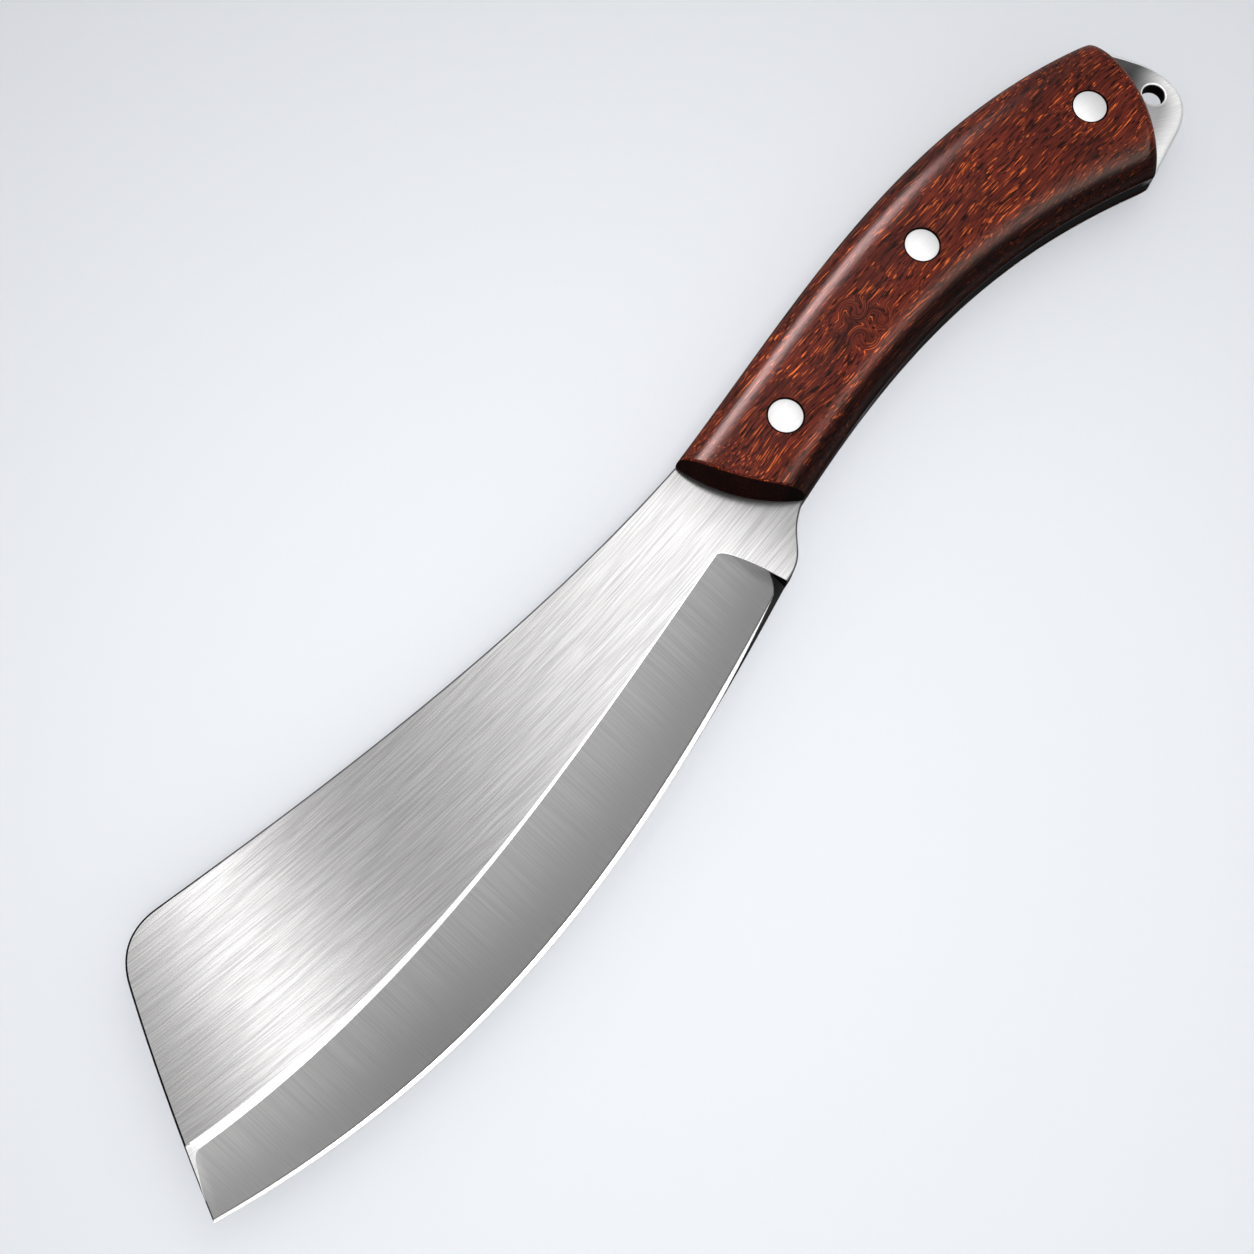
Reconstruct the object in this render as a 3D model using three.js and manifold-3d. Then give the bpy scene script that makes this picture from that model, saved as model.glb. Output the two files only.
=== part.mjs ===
// A cleaver: one steel plate that is blade, tang and butt, two wooden scales on the tang, and three
// two-piece cutler's rivets that clamp them. It lies on its side, in millimetres, with +Z up.
// X runs from the tip to the butt and Y from the cutting edge to the spine.
import * as THREE from "three";
import { mergeVertices } from "three/addons/utils/BufferGeometryUtils.js";
import Module from "manifold-3d";

// Plan sizes are measured from the middle of the front end of the handle, angles are in degrees.
// An arm is the length of a curve's handle: how far the curve keeps the direction that it starts with.

// Steel plate
const STOCK = 5;
const BLADE_LENGTH = 184;
const TIP_DROP = 23;
const TIP_RAKE = 27;
const TIP_RISE = 29.5;
const TIP_ROUND = 10;
const TIP_BOW = 1.2;
const SPINE_DIP_ANGLE = 1.7;
const SPINE_HANDLE_ARM = 48;
const SPINE_TIP_ANGLE = 10.9;
const SPINE_TIP_ARM = 45;

// Cutting edge and the two grinds above it
const HEEL_SETBACK = 9.6;
const HEEL_DROP = 21.6;
const EDGE_HEEL_ANGLE = 13;
const EDGE_HEEL_ARM = 60;
const EDGE_TIP_ANGLE = 19;
const EDGE_TIP_ARM = 66;
const EDGE_LAND = 0.15;
const EDGE_GRIND_WIDTH = 1.1;
const EDGE_GRIND_ANGLE = 27;
const BEVEL_HEEL_WIDTH = 15.5;
const BEVEL_HEEL_LEAN = 1.5;
const BEVEL_HEEL_ANGLE = 7.7;
const BEVEL_HEEL_ARM = 61;
const BEVEL_TIP_WIDTH = 13.5;
const BEVEL_TIP_ANGLE = 12.3;
const BEVEL_TIP_ARM = 56;
const PLUNGE_RADIUS = 7;

// Neck between heel and handle
const NECK_HANDLE_ANGLE = 20;
const NECK_HANDLE_ARM = 9.9;
const NECK_HEEL_ANGLE = 6;
const NECK_HEEL_ARM = 8.6;

// Handle
const HANDLE_FRONT_WIDTH = 25;
const HANDLE_FRONT_SKEW = 12.8;
const HANDLE_LENGTH = 134;
const HANDLE_REAR_RISE = 9.9;
const HANDLE_REAR_SKEW = 15.2;
const HANDLE_REAR_DROP = 21.4;
const BACK_FRONT_ANGLE = 6;
const BACK_FRONT_ARM = 45;
const BACK_REAR_ANGLE = 22;
const BACK_REAR_ARM = 50;
const BELLY_FRONT_ANGLE = 9.4;
const BELLY_FRONT_ARM = 44;
const BELLY_REAR_ANGLE = 22.6;
const BELLY_REAR_ARM = 40;

// Butt of the plate, behind the scales
const BUTT_REACH = 8.2;
const BUTT_BELLY_ANGLE = 13;
const BUTT_ROUND = 9.8;
const BUTT_SHOULDER_DROP = 9.6;
const BUTT_SHOULDER_INSET = 1.6;
const HOLE_BORE = 5.2;
const HOLE_CHAMFER = 0.35;
const HOLE_FROM_END = 6.5;
const HOLE_FROM_CORNER = 7.4;

// Scales
const GLUE_LINE = 0.1;
const SCALE_THICKNESS = 8;
const SCALE_FULLNESS = 2.6;
const SCALE_FRONT_BULGE = 2.7;
const SCALE_FRONT_LEAN = 1.6;
const SCALE_REAR_BULGE = 3.8;
const SCALE_REAR_ROUND = 3;
const SCALE_REAR_WALL = 5;

// Rivets
const RIVET_HEAD = 8;
const RIVET_HEAD_HEIGHT = 1.8;
const RIVET_DOME = 0.2;
const RIVET_TUBE = 5;
const RIVET_PIN = 3;
const RIVET_END_ROOM = 1.5;
const RIVET_FRONT_INSET = 15.5;
const RIVET_MIDDLE_INSET = 66.2;
const RIVET_REAR_INSET = 15.8;
const RIVET_FRONT_RISE = -0.6;
const RIVET_MIDDLE_RISE = -0.6;
const RIVET_REAR_RISE = 1.6;
const RIVET_FIT = 0.15;

// Number of flats that stand for each round stretch
const CURVE_STEPS = 14;
const GRIND_STEPS = 18;
const PLUNGE_STEPS = 6;
const SCALE_STEPS = 20;
const ROUND_STEPS = 5;
const SECTION_STEPS = 14;
const TURN_STEPS = 28;
const CUT_OVERRUN = 2;
const WELD_DISTANCE = 1e-4;
const SEARCH_STEPS = 16;

const STEEL = new THREE.MeshStandardMaterial({ color: 0xc4c6c8, metalness: 1, roughness: 0.35 });
const RIVET_STEEL = new THREE.MeshStandardMaterial({ color: 0xe6e6e6, metalness: 1, roughness: 0.25 });
const DARK_WOOD = new THREE.MeshStandardMaterial({ color: 0x55281c, metalness: 0, roughness: 0.35 });

const { degToRad, lerp } = THREE.MathUtils;
const half = STOCK / 2;
const crown = half + GLUE_LINE + SCALE_THICKNESS;

const wasm = await Module();
wasm.setup();

// The point at a distance from another one, in a direction that turns from +X to +Y.
function step(from, angle, distance) {
  const turn = degToRad(angle);
  return new THREE.Vector2(from.x + distance * Math.cos(turn), from.y + distance * Math.sin(turn));
}

// A curve that leaves its start in one direction and looks back from its end in another.
function eased(start, startAngle, startArm, end, endAngle, endArm) {
  const leaving = step(start, startAngle, startArm);
  const arriving = step(end, endAngle, endArm);
  return new THREE.CubicBezierCurve(start, leaving, arriving, end);
}

// A point on a curve by its share of the length, carried straight on past the curve's end.
function along(curve, share) {
  if (share <= 1) return curve.getPointAt(share);
  return curve.getPointAt(1).addScaledVector(curve.getTangentAt(1), (share - 1) * curve.getLength());
}

// Corners of the plate
const frontBack = new THREE.Vector2(-HANDLE_FRONT_SKEW / 2, HANDLE_FRONT_WIDTH / 2);
const frontBelly = new THREE.Vector2(HANDLE_FRONT_SKEW / 2, -HANDLE_FRONT_WIDTH / 2);
const rearBack = new THREE.Vector2(HANDLE_LENGTH, HANDLE_REAR_RISE);
const rearBelly = new THREE.Vector2(HANDLE_LENGTH - HANDLE_REAR_SKEW, -HANDLE_REAR_DROP);
const heel = new THREE.Vector2(-HEEL_SETBACK, -HEEL_DROP);
const tip = new THREE.Vector2(-BLADE_LENGTH, -TIP_DROP);
const tipCorner = new THREE.Vector2(-BLADE_LENGTH + TIP_RAKE, TIP_RISE);
const tipSlope = tip.clone().sub(tipCorner).normalize();
const tipOutwards = new THREE.Vector2(tipSlope.y, -tipSlope.x);
const tipMiddle = tip.clone().lerp(tipCorner, 0.5).addScaledVector(tipOutwards, TIP_BOW);
const tipRoundEnd = tipCorner.clone().add(tipMiddle.clone().sub(tipCorner).setLength(TIP_ROUND));
const tipRoundStart = step(tipCorner, -SPINE_TIP_ANGLE, TIP_ROUND);

// Long curves of the plate
const backCurve = eased(
  frontBack, BACK_FRONT_ANGLE, BACK_FRONT_ARM, rearBack, 180 - BACK_REAR_ANGLE, BACK_REAR_ARM,
);
const bellyCurve = eased(
  frontBelly, BELLY_FRONT_ANGLE, BELLY_FRONT_ARM, rearBelly, 180 - BELLY_REAR_ANGLE, BELLY_REAR_ARM,
);
const spineCurve = eased(
  tipRoundStart, -SPINE_TIP_ANGLE, SPINE_TIP_ARM, frontBack, 180 + SPINE_DIP_ANGLE, SPINE_HANDLE_ARM,
);
const edgeCurve = eased(heel, 180 + EDGE_HEEL_ANGLE, EDGE_HEEL_ARM, tip, -EDGE_TIP_ANGLE, EDGE_TIP_ARM);
const neckCurve = eased(
  frontBelly, 180 + NECK_HANDLE_ANGLE, NECK_HANDLE_ARM, heel, NECK_HEEL_ANGLE, NECK_HEEL_ARM,
);
const bevelHeel = new THREE.Vector2(heel.x - BEVEL_HEEL_LEAN, heel.y + BEVEL_HEEL_WIDTH);
const bevelTip = tip.clone().add(tipMiddle.clone().sub(tip).setLength(BEVEL_TIP_WIDTH));
const bevelCurve = eased(
  bevelHeel, 180 + BEVEL_HEEL_ANGLE, BEVEL_HEEL_ARM, bevelTip, -BEVEL_TIP_ANGLE, BEVEL_TIP_ARM,
);

// Rounded end of the butt
const buttRun = HANDLE_REAR_SKEW + BUTT_REACH;
const buttCorner = step(rearBelly, BUTT_BELLY_ANGLE, buttRun / Math.cos(degToRad(BUTT_BELLY_ANGLE)));
const buttShoulder = new THREE.Vector2(buttCorner.x - BUTT_SHOULDER_INSET, rearBack.y - BUTT_SHOULDER_DROP);
const buttRoundStart = buttCorner.clone().add(buttShoulder.clone().sub(buttCorner).setLength(BUTT_ROUND));
const buttRoundEnd = step(buttCorner, 180 + BUTT_BELLY_ANGLE, BUTT_ROUND);
const buttSide = new THREE.QuadraticBezierCurve(rearBack, buttShoulder, buttRoundStart);
const buttRound = new THREE.QuadraticBezierCurve(buttRoundStart, buttCorner, buttRoundEnd);
const tipRound = new THREE.QuadraticBezierCurve(tipRoundEnd, tipCorner, tipRoundStart);
const tipEnd = new THREE.QuadraticBezierCurve(tip, tipMiddle, tipRoundEnd);

// A closed tube through rings of points. The second half of a ring's points lies under its first half,
// so that strips between the two halves close the ends.
function loft(rings) {
  const count = rings[0].length;
  const corners = rings.flat().flatMap((point) => [point.x, point.y, point.z]);
  const triangles = [];
  const triangle = (a, b, c) => {
    if (a !== b && b !== c && c !== a) triangles.push(a, b, c);
  };
  const quad = (a, b, c, d) => {
    triangle(a, b, c);
    triangle(a, c, d);
  };
  for (let ring = 0; ring + 1 < rings.length; ring++) {
    for (let i = 0; i < count; i++) {
      const here = ring * count;
      const next = (i + 1) % count;
      quad(here + i, here + next, here + count + next, here + count + i);
    }
  }
  const last = (rings.length - 1) * count;
  const under = (i) => (count - i) % count;
  for (let i = 0; i < count / 2; i++) {
    quad(i, under(i), under(i + 1), i + 1);
    quad(last + i, last + i + 1, last + under(i + 1), last + under(i));
  }
  const geometry = new THREE.BufferGeometry();
  geometry.setAttribute("position", new THREE.Float32BufferAttribute(corners, 3));
  geometry.setIndex(triangles);
  return geometry;
}

// The same shape on the other side of the middle plane.
function mirrored(geometry) {
  const copy = geometry.clone().scale(1, 1, -1);
  const index = copy.index.array;
  for (let i = 0; i < index.length; i += 3) {
    [index[i + 1], index[i + 2]] = [index[i + 2], index[i + 1]];
  }
  return copy;
}

// A turned shape about the Z axis at a place in plan, from its radii and heights.
function turned(place, profile) {
  const outline = profile.map(([radius, height]) => new THREE.Vector2(radius, height));
  const geometry = new THREE.LatheGeometry(outline, TURN_STEPS);
  return geometry.rotateX(Math.PI / 2).translate(place.x, place.y, 0);
}

function solidOf(geometry) {
  const bare = geometry.clone();
  bare.deleteAttribute("normal");
  bare.deleteAttribute("uv");
  const merged = mergeVertices(bare, WELD_DISTANCE);
  const vertProperties = new Float32Array(merged.attributes.position.array);
  const triVerts = new Uint32Array(merged.index.array);
  return new wasm.Manifold(new wasm.Mesh({ numProp: 3, vertProperties, triVerts }));
}

function geometryOf(solid) {
  const { vertProperties, triVerts } = solid.getMesh();
  const geometry = new THREE.BufferGeometry();
  geometry.setAttribute("position", new THREE.BufferAttribute(vertProperties, 3));
  geometry.setIndex(new THREE.BufferAttribute(triVerts, 1));
  return geometry;
}

function cut(geometry, cutters) {
  const cuts = cutters.map(solidOf);
  return geometryOf(cuts.reduce((rest, cutter) => rest.subtract(cutter), solidOf(geometry)));
}

function mesh(name, geometry, material) {
  const piece = new THREE.Mesh(geometry, material);
  piece.name = name;
  return piece;
}

// Rivet places, on the middle line of the handle
function middleOfHandle(x) {
  const middle = (share) => backCurve.getPoint(share).lerp(bellyCurve.getPoint(share), 0.5);
  let low = 0;
  let high = 1;
  for (let i = 0; i < SEARCH_STEPS; i++) {
    const share = (low + high) / 2;
    if (middle(share).x < x) low = share;
    else high = share;
  }
  return middle((low + high) / 2);
}

const rivetPlaces = [
  { name: "front", x: RIVET_FRONT_INSET, rise: RIVET_FRONT_RISE },
  { name: "middle", x: RIVET_MIDDLE_INSET, rise: RIVET_MIDDLE_RISE },
  { name: "rear", x: HANDLE_LENGTH - RIVET_REAR_INSET, rise: RIVET_REAR_RISE },
].map(({ name, x, rise }) => {
  const place = middleOfHandle(x);
  place.y += rise;
  return { name, place };
});

// Steel plate: its outline, then the rivet holes, the hanging hole and the grinds cut from it
function plateOutline() {
  const path = new THREE.CurvePath();
  const reversed = (curve) => new THREE.CubicBezierCurve(curve.v3, curve.v2, curve.v1, curve.v0);
  path.add(neckCurve);
  path.add(edgeCurve);
  path.add(tipEnd);
  path.add(tipRound);
  path.add(spineCurve);
  path.add(backCurve);
  path.add(buttSide);
  path.add(buttRound);
  path.add(new THREE.LineCurve(buttRoundEnd, rearBelly));
  path.add(reversed(bellyCurve));
  return new THREE.Shape(path.getPoints(CURVE_STEPS).slice(0, -1));
}

// Half the thickness of the blade where the edge grind starts
const shoulderHalf = EDGE_LAND / 2 + EDGE_GRIND_WIDTH * Math.tan(degToRad(EDGE_GRIND_ANGLE));

// The waste above one face of the bevel. Towards the heel the face runs up out of the plate in a
// hollow of the grinding wheel's radius, which leaves the plunge line.
function bevelWaste() {
  const length = edgeCurve.getLength();
  const depth = half - shoulderHalf;
  const run = Math.sqrt(PLUNGE_RADIUS ** 2 - (PLUNGE_RADIUS - depth) ** 2);
  const plungeSteps = Array.from({ length: PLUNGE_STEPS }, (_, i) => (run * i) / PLUNGE_STEPS);
  const bevelSteps = Array.from({ length: GRIND_STEPS + 1 }, (_, i) => lerp(run, length, i / GRIND_STEPS));
  const top = half + STOCK;
  const rings = [...plungeSteps, ...bevelSteps, length + CUT_OVERRUN].map((distance) => {
    const inner = along(bevelCurve, distance / length);
    const edge = along(edgeCurve, distance / length);
    const width = inner.distanceTo(edge);
    const outer = inner.clone().lerp(edge, (width + CUT_OVERRUN) / width);
    const slope = depth / (width - EDGE_GRIND_WIDTH);
    const short = Math.max(0, run - distance);
    const lift = PLUNGE_RADIUS - Math.sqrt(PLUNGE_RADIUS ** 2 - short ** 2);
    return [
      new THREE.Vector3(inner.x, inner.y, top),
      new THREE.Vector3(inner.x, inner.y, half + lift),
      new THREE.Vector3(outer.x, outer.y, half + lift - (width + CUT_OVERRUN) * slope),
      new THREE.Vector3(outer.x, outer.y, top),
    ];
  });
  return loft(rings);
}

// The waste above one face of the edge grind.
function edgeWaste() {
  const length = edgeCurve.getLength();
  const slope = Math.tan(degToRad(EDGE_GRIND_ANGLE));
  const top = half + STOCK;
  const reach = half / slope + CUT_OVERRUN;
  const steps = Array.from({ length: GRIND_STEPS + 1 }, (_, i) => (length * i) / GRIND_STEPS);
  const rings = [...steps, length + CUT_OVERRUN].map((distance) => {
    const edge = along(edgeCurve, distance / length);
    const inwards = along(bevelCurve, distance / length).sub(edge).normalize();
    const inner = edge.clone().addScaledVector(inwards, reach);
    const outer = edge.clone().addScaledVector(inwards, -EDGE_LAND);
    return [
      new THREE.Vector3(inner.x, inner.y, top),
      new THREE.Vector3(inner.x, inner.y, EDGE_LAND / 2 + reach * slope),
      new THREE.Vector3(outer.x, outer.y, EDGE_LAND / 2 - EDGE_LAND * slope),
      new THREE.Vector3(outer.x, outer.y, top),
    ];
  });
  return loft(rings);
}

function hangingHole() {
  const bore = HOLE_BORE / 2;
  const rim = bore + HOLE_CHAMFER;
  const place = new THREE.Vector2(buttCorner.x - HOLE_FROM_END, buttCorner.y + HOLE_FROM_CORNER);
  return turned(place, [
    [0, -STOCK],
    [rim, -STOCK],
    [rim, -half],
    [bore, -half + HOLE_CHAMFER],
    [bore, half - HOLE_CHAMFER],
    [rim, half],
    [rim, STOCK],
    [0, STOCK],
  ]);
}

function rivetHole(place, height) {
  const radius = RIVET_TUBE / 2 + RIVET_FIT;
  return turned(place, [
    [0, -height],
    [radius, -height],
    [radius, height],
    [0, height],
  ]);
}

function blade() {
  const plate = new THREE.ExtrudeGeometry(plateOutline(), { depth: STOCK, bevelEnabled: false });
  plate.translate(0, 0, -half);
  const bevel = bevelWaste();
  const edge = edgeWaste();
  const holes = rivetPlaces.map(({ place }) => rivetHole(place, STOCK));
  const waste = [bevel, mirrored(bevel), edge, mirrored(edge), hangingHole(), ...holes];
  return mesh("blade", cut(plate, waste), STEEL);
}

// Scale: sections across the handle, crowned like a flattened ellipse, between a front that bulges and
// leans back and a rounded rear. Each section lies between the two long curves of the tang.
function scaleSection(share, height) {
  const back = backCurve.getPoint(share);
  const belly = bellyCurve.getPoint(share);
  const across = back.clone().sub(belly).normalize();
  const towardsButt = new THREE.Vector2(across.y, -across.x);
  const bulge = lerp(-SCALE_FRONT_BULGE, SCALE_REAR_BULGE, share);
  const lean = SCALE_FRONT_LEAN * (1 - share);
  const floor = half + GLUE_LINE;
  const place = (side, rise) => {
    const plan = belly.clone().lerp(back, (1 + side) / 2);
    plan.addScaledVector(towardsButt, bulge * (1 - side ** 2) + (lean * rise) / SCALE_THICKNESS);
    return new THREE.Vector3(plan.x, plan.y, floor + rise);
  };
  const power = 2 / SCALE_FULLNESS;
  const top = [];
  const bottom = [];
  for (let i = 0; i <= SECTION_STEPS; i++) {
    const turn = (Math.PI * i) / SECTION_STEPS;
    const atRim = i === 0 || i === SECTION_STEPS;
    const side = Math.sign(Math.cos(turn)) * Math.abs(Math.cos(turn)) ** power;
    top.push(place(side, atRim ? 0 : height * Math.sin(turn) ** power));
    if (!atRim) bottom.unshift(place(side, 0));
  }
  return [...top, ...bottom];
}

function scale(name) {
  const roundShare = SCALE_REAR_ROUND / HANDLE_LENGTH;
  const rings = [];
  for (let i = 0; i <= SCALE_STEPS; i++) {
    const share = ((1 - roundShare) * i) / SCALE_STEPS;
    rings.push(scaleSection(share, SCALE_THICKNESS));
  }
  for (let i = 1; i <= ROUND_STEPS; i++) {
    const turn = (Math.PI * i) / (2 * ROUND_STEPS);
    const share = 1 - roundShare * (1 - Math.sin(turn));
    rings.push(scaleSection(share, lerp(SCALE_REAR_WALL, SCALE_THICKNESS, Math.cos(turn))));
  }
  const seat = crown - RIVET_HEAD_HEIGHT - RIVET_FIT;
  const headRadius = RIVET_HEAD / 2 + RIVET_FIT;
  const tubeRadius = RIVET_TUBE / 2 + RIVET_FIT;
  const holes = rivetPlaces.map(({ place }) =>
    turned(place, [
      [0, 0],
      [tubeRadius, 0],
      [tubeRadius, seat],
      [headRadius, seat],
      [headRadius, crown + CUT_OVERRUN],
      [0, crown + CUT_OVERRUN],
    ]),
  );
  return mesh(name, cut(loft(rings), holes), DARK_WOOD);
}

// The head of a rivet half as radii and heights, from the middle of its slightly domed top outwards.
function rivetHead() {
  const radius = RIVET_HEAD / 2;
  return [
    [radius, crown - RIVET_HEAD_HEIGHT],
    [radius, crown - RIVET_DOME],
    [radius / 2, crown - RIVET_DOME / 4],
    [0, crown],
  ];
}

// Both halves end short of the head that they meet.
function rivetSleeve(name, place) {
  const bore = RIVET_PIN / 2 + RIVET_FIT;
  const tube = RIVET_TUBE / 2;
  const end = -crown + RIVET_HEAD_HEIGHT + RIVET_END_ROOM;
  const floor = crown - RIVET_HEAD_HEIGHT;
  const profile = [[0, floor], [bore, floor], [bore, end], [tube, end], [tube, floor], ...rivetHead()];
  return mesh(`${name}_rivet_sleeve`, turned(place, profile), RIVET_STEEL);
}

function rivetPin(name, place) {
  const pin = RIVET_PIN / 2;
  const end = -crown + RIVET_HEAD_HEIGHT + RIVET_END_ROOM;
  const profile = [[0, end], [pin, end], [pin, crown - RIVET_HEAD_HEIGHT], ...rivetHead()];
  const piece = mesh(`${name}_rivet_pin`, turned(place, profile), RIVET_STEEL);
  piece.scale.z = -1;
  return piece;
}

const knife = new THREE.Group();
const farScale = scale("far_scale");
farScale.scale.z = -1;
knife.add(blade(), scale("near_scale"), farScale);
for (const { name, place } of rivetPlaces) {
  knife.add(rivetSleeve(name, place), rivetPin(name, place));
}

// The cleaver's frame stands under the middle of its box.
const box = new THREE.Box3().setFromObject(knife, true);
const middle = box.getCenter(new THREE.Vector3());
knife.position.set(-middle.x, -middle.y, -box.min.z);
const cleaver = new THREE.Group();
cleaver.add(knife);

export default cleaver;
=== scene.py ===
"""A cleaver in soft studio light: a brushed steel plate, two scales of palm wood and three rivets.

Plan sizes are in millimetres and degrees, from the middle of the front end of the handle, with X to the
butt and Y to the spine. Heights are in millimetres from the middle plane of the plate.
"""

import bisect
import logging
import math
from dataclasses import dataclass
from enum import Enum, IntEnum
from functools import cached_property, partial
from itertools import pairwise

import bmesh
import bpy
from mathutils import Matrix, Vector
from mathutils.geometry import interpolate_bezier


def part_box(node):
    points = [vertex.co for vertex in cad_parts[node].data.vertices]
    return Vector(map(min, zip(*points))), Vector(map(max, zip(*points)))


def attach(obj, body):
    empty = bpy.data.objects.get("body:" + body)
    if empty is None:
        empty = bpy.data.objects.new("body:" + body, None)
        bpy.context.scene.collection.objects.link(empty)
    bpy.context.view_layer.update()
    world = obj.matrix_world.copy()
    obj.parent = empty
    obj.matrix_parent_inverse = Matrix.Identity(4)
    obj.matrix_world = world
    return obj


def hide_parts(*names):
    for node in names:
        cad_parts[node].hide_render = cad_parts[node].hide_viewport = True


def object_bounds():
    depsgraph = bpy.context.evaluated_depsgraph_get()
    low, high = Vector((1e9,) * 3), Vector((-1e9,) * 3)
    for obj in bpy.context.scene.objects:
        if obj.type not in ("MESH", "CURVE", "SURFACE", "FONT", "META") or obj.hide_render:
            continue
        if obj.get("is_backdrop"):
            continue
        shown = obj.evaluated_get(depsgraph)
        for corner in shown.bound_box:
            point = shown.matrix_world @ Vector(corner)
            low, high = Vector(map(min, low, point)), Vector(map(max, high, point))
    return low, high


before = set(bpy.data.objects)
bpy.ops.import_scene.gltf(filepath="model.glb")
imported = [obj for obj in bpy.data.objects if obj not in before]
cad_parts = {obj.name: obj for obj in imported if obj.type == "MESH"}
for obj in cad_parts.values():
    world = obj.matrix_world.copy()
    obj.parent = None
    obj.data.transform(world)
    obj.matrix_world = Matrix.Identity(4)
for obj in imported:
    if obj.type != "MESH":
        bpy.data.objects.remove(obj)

log = logging.getLogger("cleaver")

MM = 0.001
WELD = 0.002
STAND_OFF = 0.01

Tree = bpy.types.NodeTree
Node = bpy.types.Node
Output = Node | bpy.types.NodeSocket
Mesh = bmesh.types.BMesh
Verts = list[bmesh.types.BMVert]
Edges = list[bmesh.types.BMEdge]
Spots = dict[bmesh.types.BMVert, tuple[int, int]]
Piece = bpy.types.Object
Pair = tuple[float, float]
Triple = tuple[float, float, float]


def linear(colour: str) -> tuple[float, float, float, float]:
    """Turn an sRGB hex colour to linear values.

    Args:
        colour: A colour such as "#c8c9cb".

    Returns:
        Red, green, blue and an alpha of one.
    """
    channels = [int(colour[place : place + 2], 16) / 255 for place in (1, 3, 5)]
    made = [c / 12.92 if c <= 0.04045 else ((c + 0.055) / 1.055) ** 2.4 for c in channels]
    return (*made, 1.0)


def blend(start: float, end: float, share: float) -> float:
    """Return the value at a share of the way from start to end."""
    return start + (end - start) * share


def add_node(tree: Tree, kind: str, inputs: list | tuple | dict = (), **settings: object) -> Node:
    """Add a node with its settings, values and links.

    Args:
        tree: The node tree that takes the node.
        kind: Blender's name for the kind of node, without its first word.
        inputs: The inputs in order, or by key. Each is a value, an output that is linked, or a node whose
            first output is linked.
        settings: Attributes of the node itself.

    Returns:
        The new node.
    """
    node = tree.nodes.new(f"ShaderNode{kind}")
    for name, value in settings.items():
        setattr(node, name, value)
    for key, value in inputs.items() if isinstance(inputs, dict) else enumerate(inputs):
        source = value.outputs[0] if isinstance(value, Node) else value
        if isinstance(source, bpy.types.NodeSocket):
            tree.links.new(source, node.inputs[key])
        else:
            node.inputs[key].default_value = source
    return node


def new_material(name: str) -> tuple[bpy.types.Material, Tree]:
    """Make a material without nodes.

    Args:
        name: The name of the finish.

    Returns:
        The material and its empty node tree.
    """
    material = bpy.data.materials.new(name)
    material.use_nodes = True
    material.node_tree.nodes.clear()
    return material, material.node_tree


@dataclass(frozen=True)
class Arm:
    """The handle at one end of a curve: its direction from +X in degrees, and its length."""

    angle: float
    length: float

    def end(self, start: Vector) -> Vector:
        """Return the point that the arm reaches from a start."""
        turn = math.radians(self.angle)
        return start + self.length * Vector((math.cos(turn), math.sin(turn)))


class Route:
    """A plan curve that is read by the length run along it."""

    FINENESS = 240
    # A cubic curve with its arms this share of the way to the corner is a parabola.
    CORNER_SHARE = 2 / 3

    def __init__(self, points: list[Vector]) -> None:
        """Keep the points and the length run at each of them.

        Args:
            points: Points along the curve, in order.
        """
        self.points = points
        self.runs = [0.0]
        for before, after in pairwise(points):
            self.runs.append(self.runs[-1] + (after - before).length)

    @classmethod
    def eased(cls, start: Vector, end: Vector, arms: tuple[Arm, Arm]) -> "Route":
        """Return the curve that leaves its start and reaches its end along two arms."""
        return cls(interpolate_bezier(start, arms[0].end(start), arms[1].end(end), end, cls.FINENESS))

    @classmethod
    def rounded(cls, start: Vector, corner: Vector, end: Vector) -> "Route":
        """Return the curve from start to end that rounds off a corner."""
        arms = [side.lerp(corner, cls.CORNER_SHARE) for side in (start, end)]
        return cls(interpolate_bezier(start, *arms, end, cls.FINENESS))

    @property
    def length(self) -> float:
        """Return the whole length of the curve."""
        return self.runs[-1]

    def at(self, run: float) -> Vector:
        """Find the point at a length along the curve.

        Args:
            run: The length from the first point.

        Returns:
            The point there.
        """
        index = min(max(bisect.bisect_right(self.runs, run) - 1, 0), len(self.points) - 2)
        span = self.runs[index + 1] - self.runs[index]
        return self.points[index].lerp(self.points[index + 1], (run - self.runs[index]) / span)

    def spread(self, steps: int, first: float = 0.0) -> list[Vector]:
        """Return points in even steps, from a length along the curve to its end."""
        return [self.at(blend(first, self.length, step / steps)) for step in range(steps + 1)]


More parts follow.
